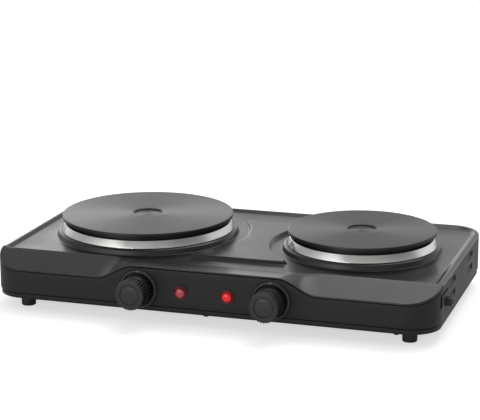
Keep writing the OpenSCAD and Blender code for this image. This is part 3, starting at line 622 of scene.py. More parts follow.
def triangulate(loops, extra, keep):
    # triangles between closed loops, through the extra points, kept where keep(x, y) of their middle holds
    points, edges = [], []
    for loop in loops:
        start = len(points)
        points.extend(loop)
        edges.extend((start + k, start + (k + 1) % len(loop)) for k in range(len(loop)))
    points.extend(extra)
    result = geometry.delaunay_2d_cdt([Vector(p) for p in points], edges, [], 0, 0.00001)
    verts, tris = result[0], result[2]
    kept = []
    for tri in tris:
        cx = sum(verts[i].x for i in tri) / 3
        cy = sum(verts[i].y for i in tri) / 3
        if keep(cx, cy):
            kept.append(tuple(tri))
    return [(p.x, p.y) for p in verts], kept


def circlePoints(cx, cy, r, count):
    return [(cx + r * math.cos(2 * math.pi * k / count), cy + r * math.sin(2 * math.pi * k / count))
            for k in range(count)]


# spacing of the sheet's points: close where it bends, wide where it's flat
deckMesh = {
    "rims": (0.07, 0.2, 0.4, 0.55, 0.7, 1.0, 1.5, 2.1, 2.8, 3.8, 4.6, 5.3, 6.0, 6.7, 7.4, 8.1, 8.8, 9.5),
    "frontRim": 3.0, "stepColumns": 30, "wideColumn": 7.5, "wideStart": 6, "middleColumn": 8,
    "middleReach": 9, "edgeRoom": 9, "rimRoom": 3.2, "shelfStart": 4, "shelfRow": 2.6, "shelfRows": 11,
    "ridgeStart": -1, "ridgeRow": 0.35, "ridgeRows": 18,
    "island": 0.8, "islandLeft": -104, "islandColumns": 230, "sparse": 10, "islandRoom": 1.2, "round": 224,
}
seats = [(p["x"], p["y"], p["radius"] + collar["reach"] + collar["apron"]) for p in plates.values()]


def offSeats(x, y, room=0.4):
    return all(math.hypot(x - cx, y - cy) > r + room for cx, cy, r in seats)


def deckPoints():
    # points along the border, over the strip and its steps, and over the island's slopes
    points = []
    for inset in deckMesh["rims"]:
        points += [(x, y) for x, y in outlinePoints(inset) if y > ridgeY - 2 or inset < deckMesh["frontRim"]]
    count, wide = deckMesh["stepColumns"], deckMesh["wideColumn"]
    step = [body["consoleHalf"] + body["stepWidth"] * k / count for k in range(count + 1)]
    last = step[-1]
    beyond = [last + deckMesh["wideStart"] + k * wide
              for k in range(int((halfW - deckMesh["edgeRoom"] - last) / wide) + 1)]
    columns = [s * c for s in (-1, 1) for c in step + beyond]
    reach = deckMesh["middleReach"]
    columns += [deckMesh["middleColumn"] * k for k in range(-reach, reach + 1)]
    rows = [deckMesh["shelfStart"] + deckMesh["shelfRow"] * k for k in range(deckMesh["shelfRows"])]
    ridge = body["stripDepth"] + deckMesh["ridgeStart"]
    rows += [ridge + deckMesh["ridgeRow"] * k for k in range(deckMesh["ridgeRows"])]
    points += [(x, frontY + v) for x in columns for v in rows
               if insetDistance(x, frontY + v) > deckMesh["rimRoom"] and offSeats(x, frontY + v)]
    pace, sparse, room = deckMesh["island"], deckMesh["sparse"], deckMesh["islandRoom"]
    margin = island["margin"]
    for i in range(int((island["back"] - island["front"] + 2 * margin) / pace) + 1):
        for j in range(deckMesh["islandColumns"]):
            x, y = deckMesh["islandLeft"] + pace * j, island["front"] - margin + pace * i
            fine = -room < islandInset(x, y) < island["slope"] + room
            if offSeats(x, y, 1.0) and (fine or (i % sparse == 0 and j % sparse == 0)):
                points.append((x, y))
    return points


def makeDeck():
    # one pressed sheet: heights follow the border, the strip's steps and the island
    outer = outlinePoints(0.0)
    loops = [outer] + [circlePoints(*seat, deckMesh["round"]) for seat in seats]
    flat, faces = triangulate(loops, deckPoints(),
                              lambda x, y: insetDistance(x, y) > 0 and offSeats(x, y, -0.02))
    parts = [([(x, y, deckHeight(x, y)) for x, y in flat], faces)]
    # skirt round the outer edge, turned in at its foot
    verts = []
    for (x, y), (ix, iy) in zip(outer, outlinePoints(body["sheet"])):
        top = deckHeight(x, y)
        foot = body["skirtZ"] if y > ridgeY else top - body["sheet"]
        verts += [(x, y, top), (x, y, foot), (ix, iy, foot), (ix, iy, foot + body["sheet"])]
    parts.append((verts, bandFaces(len(outer), 4, True, False)))
    # collars pressed up round the plates' seats
    for plate in plates.values():
        foot = plate["radius"] + collar["reach"]
        seat, crown = plate["radius"] - collar["seatInset"], collar["crown"]
        z0, z1 = body["deckZ"], heights["collarTop"]
        profile = rounded([(foot + collar["apron"], z0), (foot, z0, collar["rise"]),
                           (foot - 1.7, z1 - crown, collar["shoulder"]), (foot - 3.6, z1, crown),
                           (seat, z1, collar["seatRound"]), (seat, z1 - crown)], 6)
        parts.append(revolve(profile, plate["x"], plate["y"], deckMesh["round"]))
    mesh = meshFrom("pressedDeck", *joinParts(parts))
    cleanNormals(mesh, close["deck"])
    addPiece("pressedDeck", mesh, deckPaint, "root", ("top_cover",))


makeDeck()
print("deck made")

louvre = {"length": 30.0, "height": 8.0, "rows": (33.8, 47.8), "fromMiddle": 47.0, "depth": 3.4, "mouth": 1.9,
          "sheet": 0.8, "cornerRound": 1.2, "endPower": 7, "across": 40, "up": 12}
inlet = {"y": -77.0, "z": 36.2, "out": 6.0, "high": 8.2, "wide": 9.0, "bore": 3.1, "room": 0.3, "inside": 6,
         "flange": 1.6, "flangeThick": 2, "cornerRound": 1.2, "slitBack": 26.5, "slitWide": 4.5,
         "slitTop": 12.6, "slitLong": 34.0, "slitHigh": 2, "slitCut": 1.6, "slitFoot": 0.7}
lamps = {"x": 24.6, "radius": 7.0, "out": 4.2, "stem": 5.0, "stemBack": 10.5, "stemWall": 1.2, "lift": 0.3,
         "rimWide": 1.3, "domeSteps": 14}
fasciaHoles = {"shaft": 4.8, "lampRoom": 0.3, "screw": 1.8, "screwApart": 11, "round": 28, "screwRound": 12}
posts = {"columns": (-194.7, 0, 194.7), "fromWall": 4.3, "radius": 4.5, "bore": 2.05, "high": 20}


def wallRuns():
    # straights and corners of the wall's outer face, from the front's middle towards the right
    r = body["cornerRadius"]
    w, d, arc = halfW - r, halfD - r, math.pi / 2 * r
    return [(w, (0, -halfD), (1, 0)), (arc, (w, -d), -90), (2 * d, (halfW, -d), (0, 1)),
            (arc, (w, d), 0), (2 * w, (w, halfD), (-1, 0)), (arc, (-w, d), 90),
            (2 * d, (-halfW, d), (0, -1)), (arc, (-w, -d), 180), (w, (-w, -halfD), (1, 0))]


def wallPoint(s, z, depth=0.0):
    # the point s along the wall and depth inside its face
    for length, start, way in wallRuns():
        if s <= length + 0.0001 or way == (1, 0) and start[0] < 0:
            if isinstance(way, tuple):
                nx, ny = way[1], -way[0]
                return (start[0] + way[0] * s - nx * depth, start[1] + way[1] * s - ny * depth, z)
            a = math.radians(way) + s / body["cornerRadius"]
            r = body["cornerRadius"] - depth
            return (start[0] + r * math.cos(a), start[1] + r * math.sin(a), z)
        s -= length
    return None


def wallPlaceRight(y):
    # distance along the wall of a point of the right side at y, also where the corner turns
    r = body["cornerRadius"]
    w, d, arc = halfW - r, halfD - r, math.pi / 2 * r
    if y >= -d:
        return w + arc + y + d
    return w + arc + r * math.asin((y + d) / r)


def wallTop(s):
    # height of the wall's top edge, just under the deck and its skirt
    x, y = wallPoint(s, 0)[:2]
    inwards = 0.99999
    under = deckHeight(x * inwards, y * inwards) - body["sheet"] - body["deckRoom"]
    t = smoothStep((y - ridgeY + 0.2) / 1.2)
    return under * (1 - t) + (body["skirtZ"] - body["skirtRoom"]) * t


def roundedBox(s0, s1, z0, z1, r=0.5, steps=3):
    out = []
    corners = ((s1 - r, z0 + r, -90), (s1 - r, z1 - r, 0), (s0 + r, z1 - r, 90), (s0 + r, z0 + r, 180))
    for cx, cy, start in corners:
        for k in range(steps + 1):
            a = math.radians(start + 90 * k / steps)
            out.append((cx + r * math.cos(a), cy + r * math.sin(a)))
    return out


def wallLength():
    return sum(run[0] for run in wallRuns())


def louvrePlaces():
    # middles of the louvres along the wall, on both sides of the body
    total = wallLength()
    spots = []
    for y in (-louvre["fromMiddle"], louvre["fromMiddle"]):
        s = wallPlaceRight(y)
        spots += [(s, z) for z in louvre["rows"]] + [(total - s, z) for z in louvre["rows"]]
    return spots


def insideLoop(x, y, loop):
    inside = False
    for i, (x1, y1) in enumerate(loop):
        x0, y0 = loop[i - 1]
        if (y1 > y) != (y0 > y) and x < (x0 - x1) * (y - y1) / (y0 - y1) + x1:
            inside = not inside
    return inside


def wallHoles():
    # openings of the unrolled wall: louvres, cord inlet, slit, shafts, lamps and the fascia's screws
    halfLong, halfHigh = louvre["length"] / 2, louvre["height"] / 2
    holes = [roundedBox(s - halfLong, s + halfLong, z - halfHigh, z + halfHigh, louvre["cornerRound"])
             for s, z in louvrePlaces()]
    y, z, room = inlet["y"], inlet["z"], inlet["room"]
    g0, g1 = wallPlaceRight(y - inlet["wide"] / 2 - room), wallPlaceRight(y + inlet["wide"] / 2 + room)
    holes.append(roundedBox(g0, g1, z - inlet["high"] / 2 - room, z + inlet["high"] / 2 + room, 0.8))
    # upright slit that turns level above the cord inlet, its corner cut off
    back = y - inlet["slitBack"]
    s0, s1, s2 = [wallPlaceRight(back + way) for way in (0, inlet["slitWide"], inlet["slitLong"])]
    low, high = z - inlet["slitFoot"], z + inlet["slitTop"]
    under, cut = high - inlet["slitHigh"], inlet["slitCut"]
    holes.append([(s0, low), (s1, low), (s1, under), (s2, under), (s2, high), (s0 + cut, high),
                  (s0, high - cut)])
    total, level = wallLength(), dials["z"]
    for side in (-1, 1):
        dial, lamp = side * dials["x"], side * lamps["x"]
        lampHole, apart = lamps["stem"] + fasciaHoles["lampRoom"], fasciaHoles["screwApart"]
        spots = [(dial, fasciaHoles["shaft"], fasciaHoles["round"]), (lamp, lampHole, fasciaHoles["round"])]
        spots += [(dial + s, fasciaHoles["screw"], fasciaHoles["screwRound"]) for s in (-apart, apart)]
        holes += [circlePoints(s % total, level, radius, count) for s, radius, count in spots]
    return holes


# spacing of the wall's points, and the heights of its rounded edges
wallMesh = {"straight": 3.0, "corner": 1.6, "step": 24, "ridge": 0.3, "least": 0.12, "rows": 6,
            "edges": (0.08, 0.2, 0.38, 0.6)}


def wallMarks():
    # places along the wall that get a column of points, close at the corners, the steps and the ridge
    total, marks, s = wallLength(), [], 0.0
    for length, start, way in wallRuns():
        count = max(2, round(length / wallMesh["straight" if isinstance(way, tuple) else "corner"]))
        marks += [s + length * k / count for k in range(count)]
        s += length
    count = wallMesh["step"]
    for k in range(count + 1):
        reach = body["stepWidth"] * k / count
        marks += [body["consoleHalf"] + reach, total - body["consoleHalf"] - reach]
    ridge = wallPlaceRight(ridgeY)
    marks += [side + k * wallMesh["ridge"] for side in (ridge, total - ridge) for k in range(-4, 6)]
    marks = sorted(set(round(m, 3) for m in marks if 0.3 < m < total - 0.3))
    return [m for i, m in enumerate(marks) if i == 0 or m - marks[i - 1] > wallMesh["least"]]


def makeWall():
    # unrolled as height over the distance along the wall, cut out, then bent round with a thickness
    total, foot, steps, rows = wallLength(), body["frameFoot"], wallMesh["edges"], wallMesh["rows"]
    marks = wallMarks()
    line = [0.0] + marks + [total]
    tops = {m: wallTop(m) for m in line}
    holes = wallHoles()
    bevel = steps[-1]
    ends = [foot + b for b in steps] + [foot + (tops[0.0] - foot) * k / rows for k in range(1, rows)]
    ends += [tops[0.0] - b for b in reversed(steps)]
    outline = [(0.0, foot)] + [(m, foot) for m in marks] + [(total, foot)] + [(total, z) for z in ends]
    outline += [(total, tops[total])] + [(m, tops[m]) for m in reversed(marks)] + [(0.0, tops[0.0])]
    outline += [(0.0, z) for z in reversed(ends)]
    extra = []
    for i, m in enumerate(marks):
        zs = [foot + b for b in steps] + [tops[m] - b for b in steps]
        if i % 2 == 0:
            zs += [foot + (tops[m] - foot) * k / rows for k in range(1, rows)]
        extra += [(m, z) for z in zs if not any(insideLoop(m, z, h) for h in holes)]

    def topAt(s):
        # height of the top edge between two marks
        i = min(max(bisect.bisect_left(line, s), 1), len(line) - 1)
        s0, s1 = line[i - 1], line[i]
        return tops[s0] + (tops[s1] - tops[s0]) * (s - s0) / (s1 - s0)

    flat, faces = triangulate([outline] + holes, extra,
                              lambda s, z: z < topAt(s) and not any(insideLoop(s, z, h) for h in holes))
    outer, inner = [], []
    for s, z in flat:
        depth = edgeRound(max(0.0, z - foot), bevel) + edgeRound(max(0.0, topAt(s) - z), bevel)
        outer.append(wallPoint(s, z, depth))
        inner.append(wallPoint(s, z, body["wall"]))
    count = len(flat)
    allFaces = faces + [tuple(count + i for i in reversed(f)) for f in faces]
    # open edges get a face through the wall, except the two ends, which meet at the front's middle
    edges = [(a, b) for f in faces for a, b in zip(f, f[1:] + f[:1])]
    used = set(edges)
    for a, b in edges:
        atStart = max(flat[a][0], flat[b][0]) < 0.001
        atEnd = min(flat[a][0], flat[b][0]) > total - 0.001
        if (b, a) not in used and not atStart and not atEnd:
            allFaces.append((b, a, count + a, count + b))
    mesh = meshFrom("sideFrame", outer + inner, allFaces)
    cleanNormals(mesh, close["wall"], creaseAngle)
    addPiece("sideFrame", mesh, framePaint, "root", ("side_frame",))


def louvreUnit():
    # scoop pressed inwards under its mouth; x points out of the wall, y along it
    half, low, top = louvre["length"] / 2, -louvre["height"] / 2, louvre["height"] / 2 - louvre["mouth"]
    across, up, start = louvre["across"], louvre["up"], 0.1
    verts, faces = [], []
    for back in (0, 1):
        for i in range(across + 1):
            y = -half + 2 * half * i / across
            ends = 1 - abs(y / half) ** louvre["endPower"]
            for j in range(up + 1):
                t = j / up
                depth = start + (louvre["depth"] - start) * math.sin(t * math.pi / 2) ** 1.2 * ends
                verts.append((-depth - back * louvre["sheet"], y, low + (top - low) * t))
    row = up + 1
    shift = (across + 1) * row
    for i in range(across):
        for j in range(up):
            a = i * row + j
            faces.append((a, a + row, a + row + 1, a + 1))
            faces.append((shift + a, shift + a + 1, shift + a + row + 1, shift + a + row))
    last = across * row
    rim = [(i * row, (i + 1) * row) for i in range(across)] + [(last + j, last + j + 1) for j in range(up)]
    rim += [((i + 1) * row + up, i * row + up) for i in range(across)] + [(j + 1, j) for j in range(up)]
    faces += [(b, a, shift + a, shift + b) for a, b in rim]
    return unitFrom("louvreUnit", verts, faces)


def panScrews():
    # places of the screws that hold the pan, each under a post of the frame
    return [(x, s * (halfD - body["wall"] - posts["fromWall"])) for x in posts["columns"] for s in (-1, 1)]


def makeLouvres():
    # the louvres' scoops, and the hollow posts that take the pan's screws
    places = []
    for s, z in louvrePlaces():
        x, y, z = wallPoint(s, z)
        places.append((x, y, z, 0 if x > 0 else 180))
    mesh = copiesAt("pressedLouvres", louvreUnit(), places, framePaint)
    addPiece("pressedLouvres", mesh, None, "root", ("side_frame",))
    bore, radius, high = posts["bore"], posts["radius"], posts["high"]
    tube = revolve([(bore, 0), (radius, 0), (radius, high), (bore, high)], segments=32, closed=True)
    places = [(x, y, body["underside"] + 1, 0) for x, y in panScrews()]
    mesh = copiesAt("screwPosts", unitFrom("postUnit", *tube), places, framePaint)
    addPiece("screwPosts", mesh, None, "root", ("side_frame",))


makeWall()
makeLouvres()
print("wall and louvres made")

feet = {"x": 203.7, "y": 101.7, "topRadius": 7.8, "footRadius": 7.4, "recess": 6.0, "recessRadius": 4.0,
        "bore": 2.05, "soleRound": 1.0, "round": 96}
screw = {"radius": 1.75, "room": 0.3, "head": 3.2, "headHigh": 2.2, "headFlat": 0.62, "cross": 1.9,
         "crossHalf": 0.42, "crossDeep": 1.0, "headRim": 0.35, "headRound": 0.8, "point": 1, "round": 48,
         "footLong": 9, "panLong": 16}
pan = {"room": 0.3, "rim": 1.9, "lean": 0.15, "footRound": 1.2, "rimRound": 0.5, "upstand": 3}
slots = {"half": 4, "pitch": 12.0, "wide": 4.0, "long": 44.0, "round": 1.9, "lip": 1.4, "lipWide": 0.9}


def panSlots():
    return [(plates[side]["x"] + i * slots["pitch"], plates[side]["y"]) for side in plates
            for i in range(-slots["half"], slots["half"] + 1)]


def slotLoop(x=0.0, y=0.0, grow=0.0):
    # a slot's outline about its middle
    wide, long = slots["wide"] / 2 + grow, slots["long"] / 2 + grow
    return roundedBox(x - wide, x + wide, y - long, y + long, slots["round"] + grow, 6)


def footPlaces():
    return [(sx * feet["x"], sy * feet["y"]) for sx in (-1, 1) for sy in (-1, 1)]


def makePan():
    # pressed tray: rounded rim, upstand inside the frame, slotted floor
    z0, top = body["underside"], body["panTop"]
    inset, up, sheet = body["panInset"], body["wall"] + pan["room"], body["sheet"]
    rim, floor, high = inset + pan["rim"], z0 + sheet, top + pan["upstand"]
    profile = rounded([(rim, z0), (inset + pan["lean"], z0, pan["footRound"]), (inset, top, pan["rimRound"]),
                       (up, top, 0.3), (up, high), (up + sheet, high), (up + sheet, floor)], 4)
    loops = [outlinePoints(d) for d, z in profile]
    verts = [(x, y, z) for loop, (d, z) in zip(loops, profile) for x, y in loop]
    parts = [(verts, bandFaces(len(profile), len(loops[0])))]
    holes = [slotLoop(x, y) for x, y in panSlots()]
    holes += [circlePoints(x, y, screw["radius"] + screw["room"], 20) for x, y in panScrews() + footPlaces()]

    def solid(x, y, d):
        return insetDistance(x, y) > d - 0.01 and not any(insideLoop(x, y, hole) for hole in holes)

    for d, z in ((rim, z0), (up + sheet, floor)):
        flat, tris = triangulate([outlinePoints(d)] + holes, [], lambda x, y: solid(x, y, d))
        parts.append(([(x, y, z) for x, y in flat], tris))
    for hole in holes:
        parts.append(([(x, y, z) for z in (z0, floor) for x, y in hole], bandFaces(2, len(hole))))
    mesh = meshFrom("pressedPan", *joinParts(parts))
    cleanNormals(mesh, close["wall"], creaseAngle)
    addPiece("pressedPan", mesh, panPaint, "root", ("base_pan",))
    # lips pressed up round the slots, inside the floor
    outer, inner, lip = slotLoop(grow=slots["lipWide"]), slotLoop(), slots["lip"]
    verts = [(x, y, 1.0) for x, y in outer] + [(x, y, lip + 0.7) for x, y in outer]
    verts += [(x, y, lip + 1) for x, y in inner] + [(x, y, 0.9) for x, y in inner]
    unit = unitFrom("slotLip", verts, bandFaces(4, len(inner)))
    mesh = copiesAt("slotLips", unit, [(x, y, z0, 0) for x, y in panSlots()], panPaint)
    addPiece("slotLips", mesh, None, "root", ("base_pan",))


def screwUnit(shank):
    # pan head screw with a cross recess, its head down
    r, head, high, deep = screw["radius"], screw["head"], screw["headHigh"], screw["crossDeep"]
    half, reach, flatRim = screw["crossHalf"], screw["cross"], screw["headFlat"] * head
    arms = []
    for k in range(4):
        a = math.pi / 2 * k
        for u, v in ((reach, -half), (reach, half), (half * 1.5, half * 1.5)):
            arms.append((u * math.cos(a) - v * math.sin(a), u * math.sin(a) + v * math.cos(a)))
    rim = circlePoints(0, 0, flatRim, screw["round"])
    flat, tris = triangulate([rim, arms], [], lambda x, y: math.hypot(x, y) < flatRim)
    top = [t for t in tris
           if not insideLoop(sum(flat[i][0] for i in t) / 3, sum(flat[i][1] for i in t) / 3, arms)]
    parts = [([(x, y, 0) for x, y in flat], top),
             ([(x, y, deep) for x, y in flat], [t for t in tris if t not in top]),
             ([(x, y, z) for z in (0, deep) for x, y in arms], bandFaces(2, len(arms)))]
    profile = rounded([(flatRim, 0), (head, screw["headRim"] * high, screw["headRound"]), (head, high, 0.15),
                       (r, high), (r, high + shank - screw["point"]), (0, high + shank)], 4)
    parts.append(revolve(profile, segments=screw["round"]))
    return unitFrom("screwUnit", *joinParts(parts), 40)


def makeFeetAndScrews():
    # round feet with a recess for the screw, then the two rows of screws, turned to different angles
    z0, depth, bore, hollow = body["underside"], feet["recess"], feet["bore"], feet["recessRadius"]
    profile = rounded([(bore, depth), (hollow, depth, 0.3), (hollow, 0, 0.3),
                       (feet["footRadius"], 0, feet["soleRound"]), (feet["topRadius"], z0, 0.4), (bore, z0)],
                      6, True)
    for row, sy in (("front", -1), ("rear", 1)):
        for side, sx in (("left", -1), ("right", 1)):
            name = row + side.title() + "RubberFoot"
            mesh = meshFrom(name, *revolve(profile, sx * feet["x"], sy * feet["y"], feet["round"], True))
            cleanNormals(mesh, crease=creaseAngle)
            addPiece(name, mesh, footRubber, "root", ("foot_" + row + "_" + side,))
    places = [(x, y, depth - screw["headHigh"], 50 if x * y > 0 else -10) for x, y in footPlaces()]
    mesh = copiesAt("footScrewRow", screwUnit(z0 - depth + screw["footLong"]), places, blackSteel)
    addPiece("footScrewRow", mesh, None, "root", ("foot_screws",))
    places = [(x, y, z0 - screw["headHigh"], 17 * i) for i, (x, y) in enumerate(panScrews())]
    mesh = copiesAt("baseScrewRow", screwUnit(screw["panLong"]), places, blackSteel)
    addPiece("baseScrewRow", mesh, None, "root", ("base_screws",))


makePan()
makeFeetAndScrews()
print("pan, feet and screws made")

knob = {"back": 2.2, "face": 24.3, "skirt": 11.5, "core": 14.55, "crest": 15.6, "ribs": 32, "ribHalf": 1.08,
        "seat": 9.8, "seatDeep": 1.3, "wall": 1.6, "front": 3.6, "bore": 3.05, "hub": 5.5, "hubFoot": 4,
        "capRadius": 9.5, "capHigh": 1.3, "round": 128}
bezel = {"lift": 0.3, "inner": 17.0, "outer": 20.5, "high": 2.6, "round": 128}
pointer = {"turn": 42, "start": 0.75, "long": 2.35, "half": 0.24, "paint": 0.03, "parts": 8}


def frontMesh(name, profile, cx, segments=96, closed=False):
    # a round shape on the front wall, from its profile of (radius, height off the wall)
    shape = revolve(profile, segments=segments, closed=closed)
    mesh = meshFrom(name, *shape, facingFront(cx, dials["z"]))
    cleanNormals(mesh, close["turned"], creaseAngle)
    return mesh


def ribUnit():
    # one grip rib from the smooth skirt forward, its front end run out to the face
    stations = [(knob["skirt"] - 0.4, 0.97), (knob["face"] - 1.9, 0.97), (knob["face"] - 1.4, 0.94),
                (knob["face"] - 1.0, 0.84), (knob["face"] - 0.7, 0.6), (knob["face"] - 0.5, 0.2)]
    row = 11
    base = knob["core"] - 0.25
    verts = []
    for z, share in stations:
        for j in range(row):
            t = -1 + 2 * j / (row - 1)
            high = (knob["crest"] - base) * share * math.sqrt(max(0.0, 1 - t * t))
            verts.append((base + high, t * knob["ribHalf"], z))
    faces = bandFaces(len(stations), row, ringClosed=False)
    faces.append(tuple(range(row)))
    faces.append(tuple(reversed(range(len(verts) - row, len(verts)))))
    return unitFrom("ribUnit", verts, faces, 60)


def makeKnob(side, cx):
    # hollow knob with a hub for the shaft and a seat for the cap in its face
    face, core, crest, skirt, bore = knob["face"], knob["core"], knob["crest"], knob["skirt"], knob["bore"]
    seat, inside, inner = face - knob["seatDeep"], face - knob["front"], core - knob["wall"]
    hub, foot = knob["hub"], knob["hubFoot"]
    profile = rounded([(0, seat), (knob["seat"], seat, 0.1), (knob["seat"], face, 0.15),
                       (core - 0.1, face, 0.5), (core, face - 1.4, 0.6), (core, skirt, 0.2),
                       (crest, skirt, 0.35), (crest, 0, 0.5), (inner, 0, 0.3), (inner, inside, 0.6),
                       (hub, inside, 0.4), (hub, foot, 0.4), (bore, foot), (bore, inside), (0, inside)], 5)
    shape = unitFrom("knobCore", *revolve(profile, segments=knob["round"]))
    mesh = runTree(side + "FlutedKnob", ringTree, shape, ribUnit(), knobPlastic, "Count", knob["ribs"])
    x, y, z = toFrame((cx, frontY - knob["back"], dials["z"]))
    mesh.transform(Matrix(((1, 0, 0, x), (0, 0, -1, y), (0, 1, 0, z), (0, 0, 0, 1))))
    addPiece(side + "FlutedKnob", mesh, knobPlastic, side + "_dial", (side + "_knob",))
    start, radius = knob["back"] + seat, knob["capRadius"]
    front = start + knob["capHigh"]
    profile = rounded([(0, front), (radius - 1.5, front), (radius, start + 1.05, 0.6), (radius, start, 0.1),
                       (0, start)], 5)
    mesh = frontMesh(side + "DialCap", profile, cx)
    addPiece(side + "DialCap", mesh, capPlastic, side + "_dial", (side + "_knob_cap",))


def bezelDepth(r):
    # how far the bezel's face stands out at a radius
    outer, high = bezel["outer"], bezel["high"]
    profile = [(bezel["inner"] + 0.6, high), (outer - 2, high), (outer - 1.2, high - 0.4), (outer - 0.4, 1.0),
               (outer, 0)]
    for (r0, z0), (r1, z1) in zip(profile, profile[1:]):
        if r <= r1:
            return z0 + (z1 - z0) * (r - r0) / (r1 - r0)
    return 0.0


def makeBezel(side, cx):
    # flat ring with a sloping outer edge, and the pointer on it
    inner, outer, lift = bezel["inner"], bezel["outer"], bezel["lift"]
    top, node = lift + bezel["high"], side + "_bezel"
    profile = rounded([(inner, lift), (outer, lift), (outer - 0.4, lift + 1, 0.3),
                       (outer - 1.2, top - 0.4, 0.5), (outer - 2, top, 0.5), (inner + 0.6, top, 0.4),
                       (inner, top - 0.6, 0.4)], 5, True)
    mesh = frontMesh(side + "BezelRing", profile, cx, bezel["round"], True)
    addPiece(side + "BezelRing", mesh, bezelPlastic, "root", (node,))
    # pointer: two thin painted lines that meet towards the knob
    arms = []
    for turn in (-pointer["turn"], pointer["turn"]):
        angle = math.radians(90 + turn)
        way = Vector((math.cos(angle), math.sin(angle)))
        across = Vector((-way.y, way.x))
        verts = []
        for k in range(pointer["parts"] + 1):
            middle = Vector((0, inner + pointer["start"])) + way * pointer["long"] * k / pointer["parts"]
            for s in (-pointer["half"], pointer["half"]):
                p = middle + across * s
                verts.append((p.x, p.y, lift + bezelDepth(p.length) + pointer["paint"]))
        arms.append((verts, bandFaces(pointer["parts"] + 1, 2, ringClosed=False)))
    mesh = meshFrom("pointer", *joinParts(arms), facingFront(cx, dials["z"]))
    addPiece(side + "PointerMark", mesh, markGrey, "root", (node,))


# the left lamp is paler, the right one glows a little
# edge is the colour of the painted rim shade; pale and deep are the shares of the radius where the painted
# light of the middle ends and where the rim shade is full
lensFinish = {
    "left": {"dark": "#a8444a", "light": "#b8565a", "glow": "#b8444c", "glowPower": 0.18, "clear": 0.15,
             "roughness": 0.12, "edge": "#5a0c14", "pale": 0.5, "deep": 0.76},
    "right": {"dark": "#b81014", "light": "#c8181a", "glow": "#f81010", "glowPower": 0.42, "clear": 0.15,
              "roughness": 0.12, "edge": "#6c0810", "pale": 0.45, "deep": 0.78},
}


def makeLens(side, cx):
    # a rim on the wall, and a dome on a hollow stem that goes through it
    r, out, stem, lift = lamps["radius"], lamps["out"], lamps["stem"], lamps["lift"]
    back, bore, edge = -lamps["stemBack"], stem - lamps["stemWall"], lamps["rimWide"]
    node = side + "_lamp_lens"
    rim = rounded([(stem, lift), (r, lift), (r, 1.5, 0.6), (r - 0.9, 1.9, 0.4), (r - 1.4, 1.4)], 5)
    addPiece(side + "LensRim", frontMesh(side + "LensRim", rim, cx), lensRim, "root", (node,))
    turns = [math.radians(90 * k / lamps["domeSteps"]) for k in range(lamps["domeSteps"] + 1)]
    dome = [((r - edge) * math.sin(a), edge + (out - 1.0) * math.cos(a)) for a in turns]
    dome += [(r - edge, lift), (stem, lift), (stem, back), (bore, back), (bore, 0.5), (0, 0.5)]
    lensRed = lensMaterial("redAcrylic" + side.title(), lensFinish[side], toFrame((cx, 0, dials["z"])))
    addPiece(side + "LensDome", frontMesh(side + "LensDome", dome, cx), lensRed, "root", (node,))


def makeGland():
    # strain relief block with rounded edges, a round bore and a flange inside the wall
    y0, z0, wide, high = inlet["y"], inlet["z"], inlet["wide"] / 2, inlet["high"] / 2
    x0, x1 = halfW - body["wall"] - inlet["inside"], halfW + inlet["out"]

    def section(x, shrink, grow=0.0):
        loop = roundedBox(-wide - grow + shrink, wide + grow - shrink, -high - grow + shrink,
                          high + grow - shrink, inlet["cornerRound"] + grow / 2, 7)
        return [(x, y0 + a, z0 + b) for a, b in loop]

    flange, grow = halfW - body["wall"] - inlet["room"], inlet["flange"]
    back = flange - inlet["flangeThick"]
    rings = [section(x0, 0), section(back, 0), section(back, 0, grow), section(flange, 0, grow),
             section(flange, 0), section(x1 - 0.9, 0), section(x1 - 0.5, 0.12), section(x1 - 0.15, 0.4),
             section(x1, 0.9)]
    angles = [math.atan2(z - z0, y - y0) for x, y, z in rings[0]]
    for x, r in ((x1, inlet["bore"] + 0.25), (x1 - 0.3, inlet["bore"]), (x0, inlet["bore"])):
        rings.append([(x, y0 + r * math.cos(a), z0 + r * math.sin(a)) for a in angles])
    verts = [v for ring in rings for v in ring]
    mesh = meshFrom("cordInlet", verts, bandFaces(len(rings), len(angles), True))
    cleanNormals(mesh, close["turned"], creaseAngle)
    addPiece("cordInletBlock", mesh, glandPlastic, "root", ("cord_gland",))


for side, sign in (("left", -1), ("right", 1)):
    makeKnob(side, sign * dials["x"])
    makeBezel(side, sign * dials["x"])
    makeLens(side, sign * lamps["x"])
makeGland()
print("knobs, bezels, lenses and gland made")


def addTurningMap(mesh, side):
    # u runs round the plate, v outwards, so that highlights follow the turning marks
    centre = toFrame((plates[side]["x"], plates[side]["y"], 0))
    layer = mesh.uv_layers.new(name="turning")
    for poly in mesh.polygons:
        corners = []
        for loop in poly.loop_indices:
            co = mesh.vertices[mesh.loops[loop].vertex_index].co
            corners.append((math.atan2(co.y - centre[1], co.x - centre[0]), loop, co))
        high = max(c[0] for c in corners)
        for angle, loop, co in corners:
            if high - angle > math.pi:
                angle += 2 * math.pi
            layer.data[loop].uv = (angle / math.pi, math.hypot(co.x - centre[0], co.y - centre[1]) * 8)


plateShape = {"hollow": 16.0, "sunk": 1.5, "edgeRound": 0.9, "skirtIn": 6, "skirtWide": 4, "skirtHigh": 6,
              "round": 256}
ringShape = {"out": 1.2, "high": 8, "tuck": 2.6, "flange": 9.5, "sheet": 0.9}


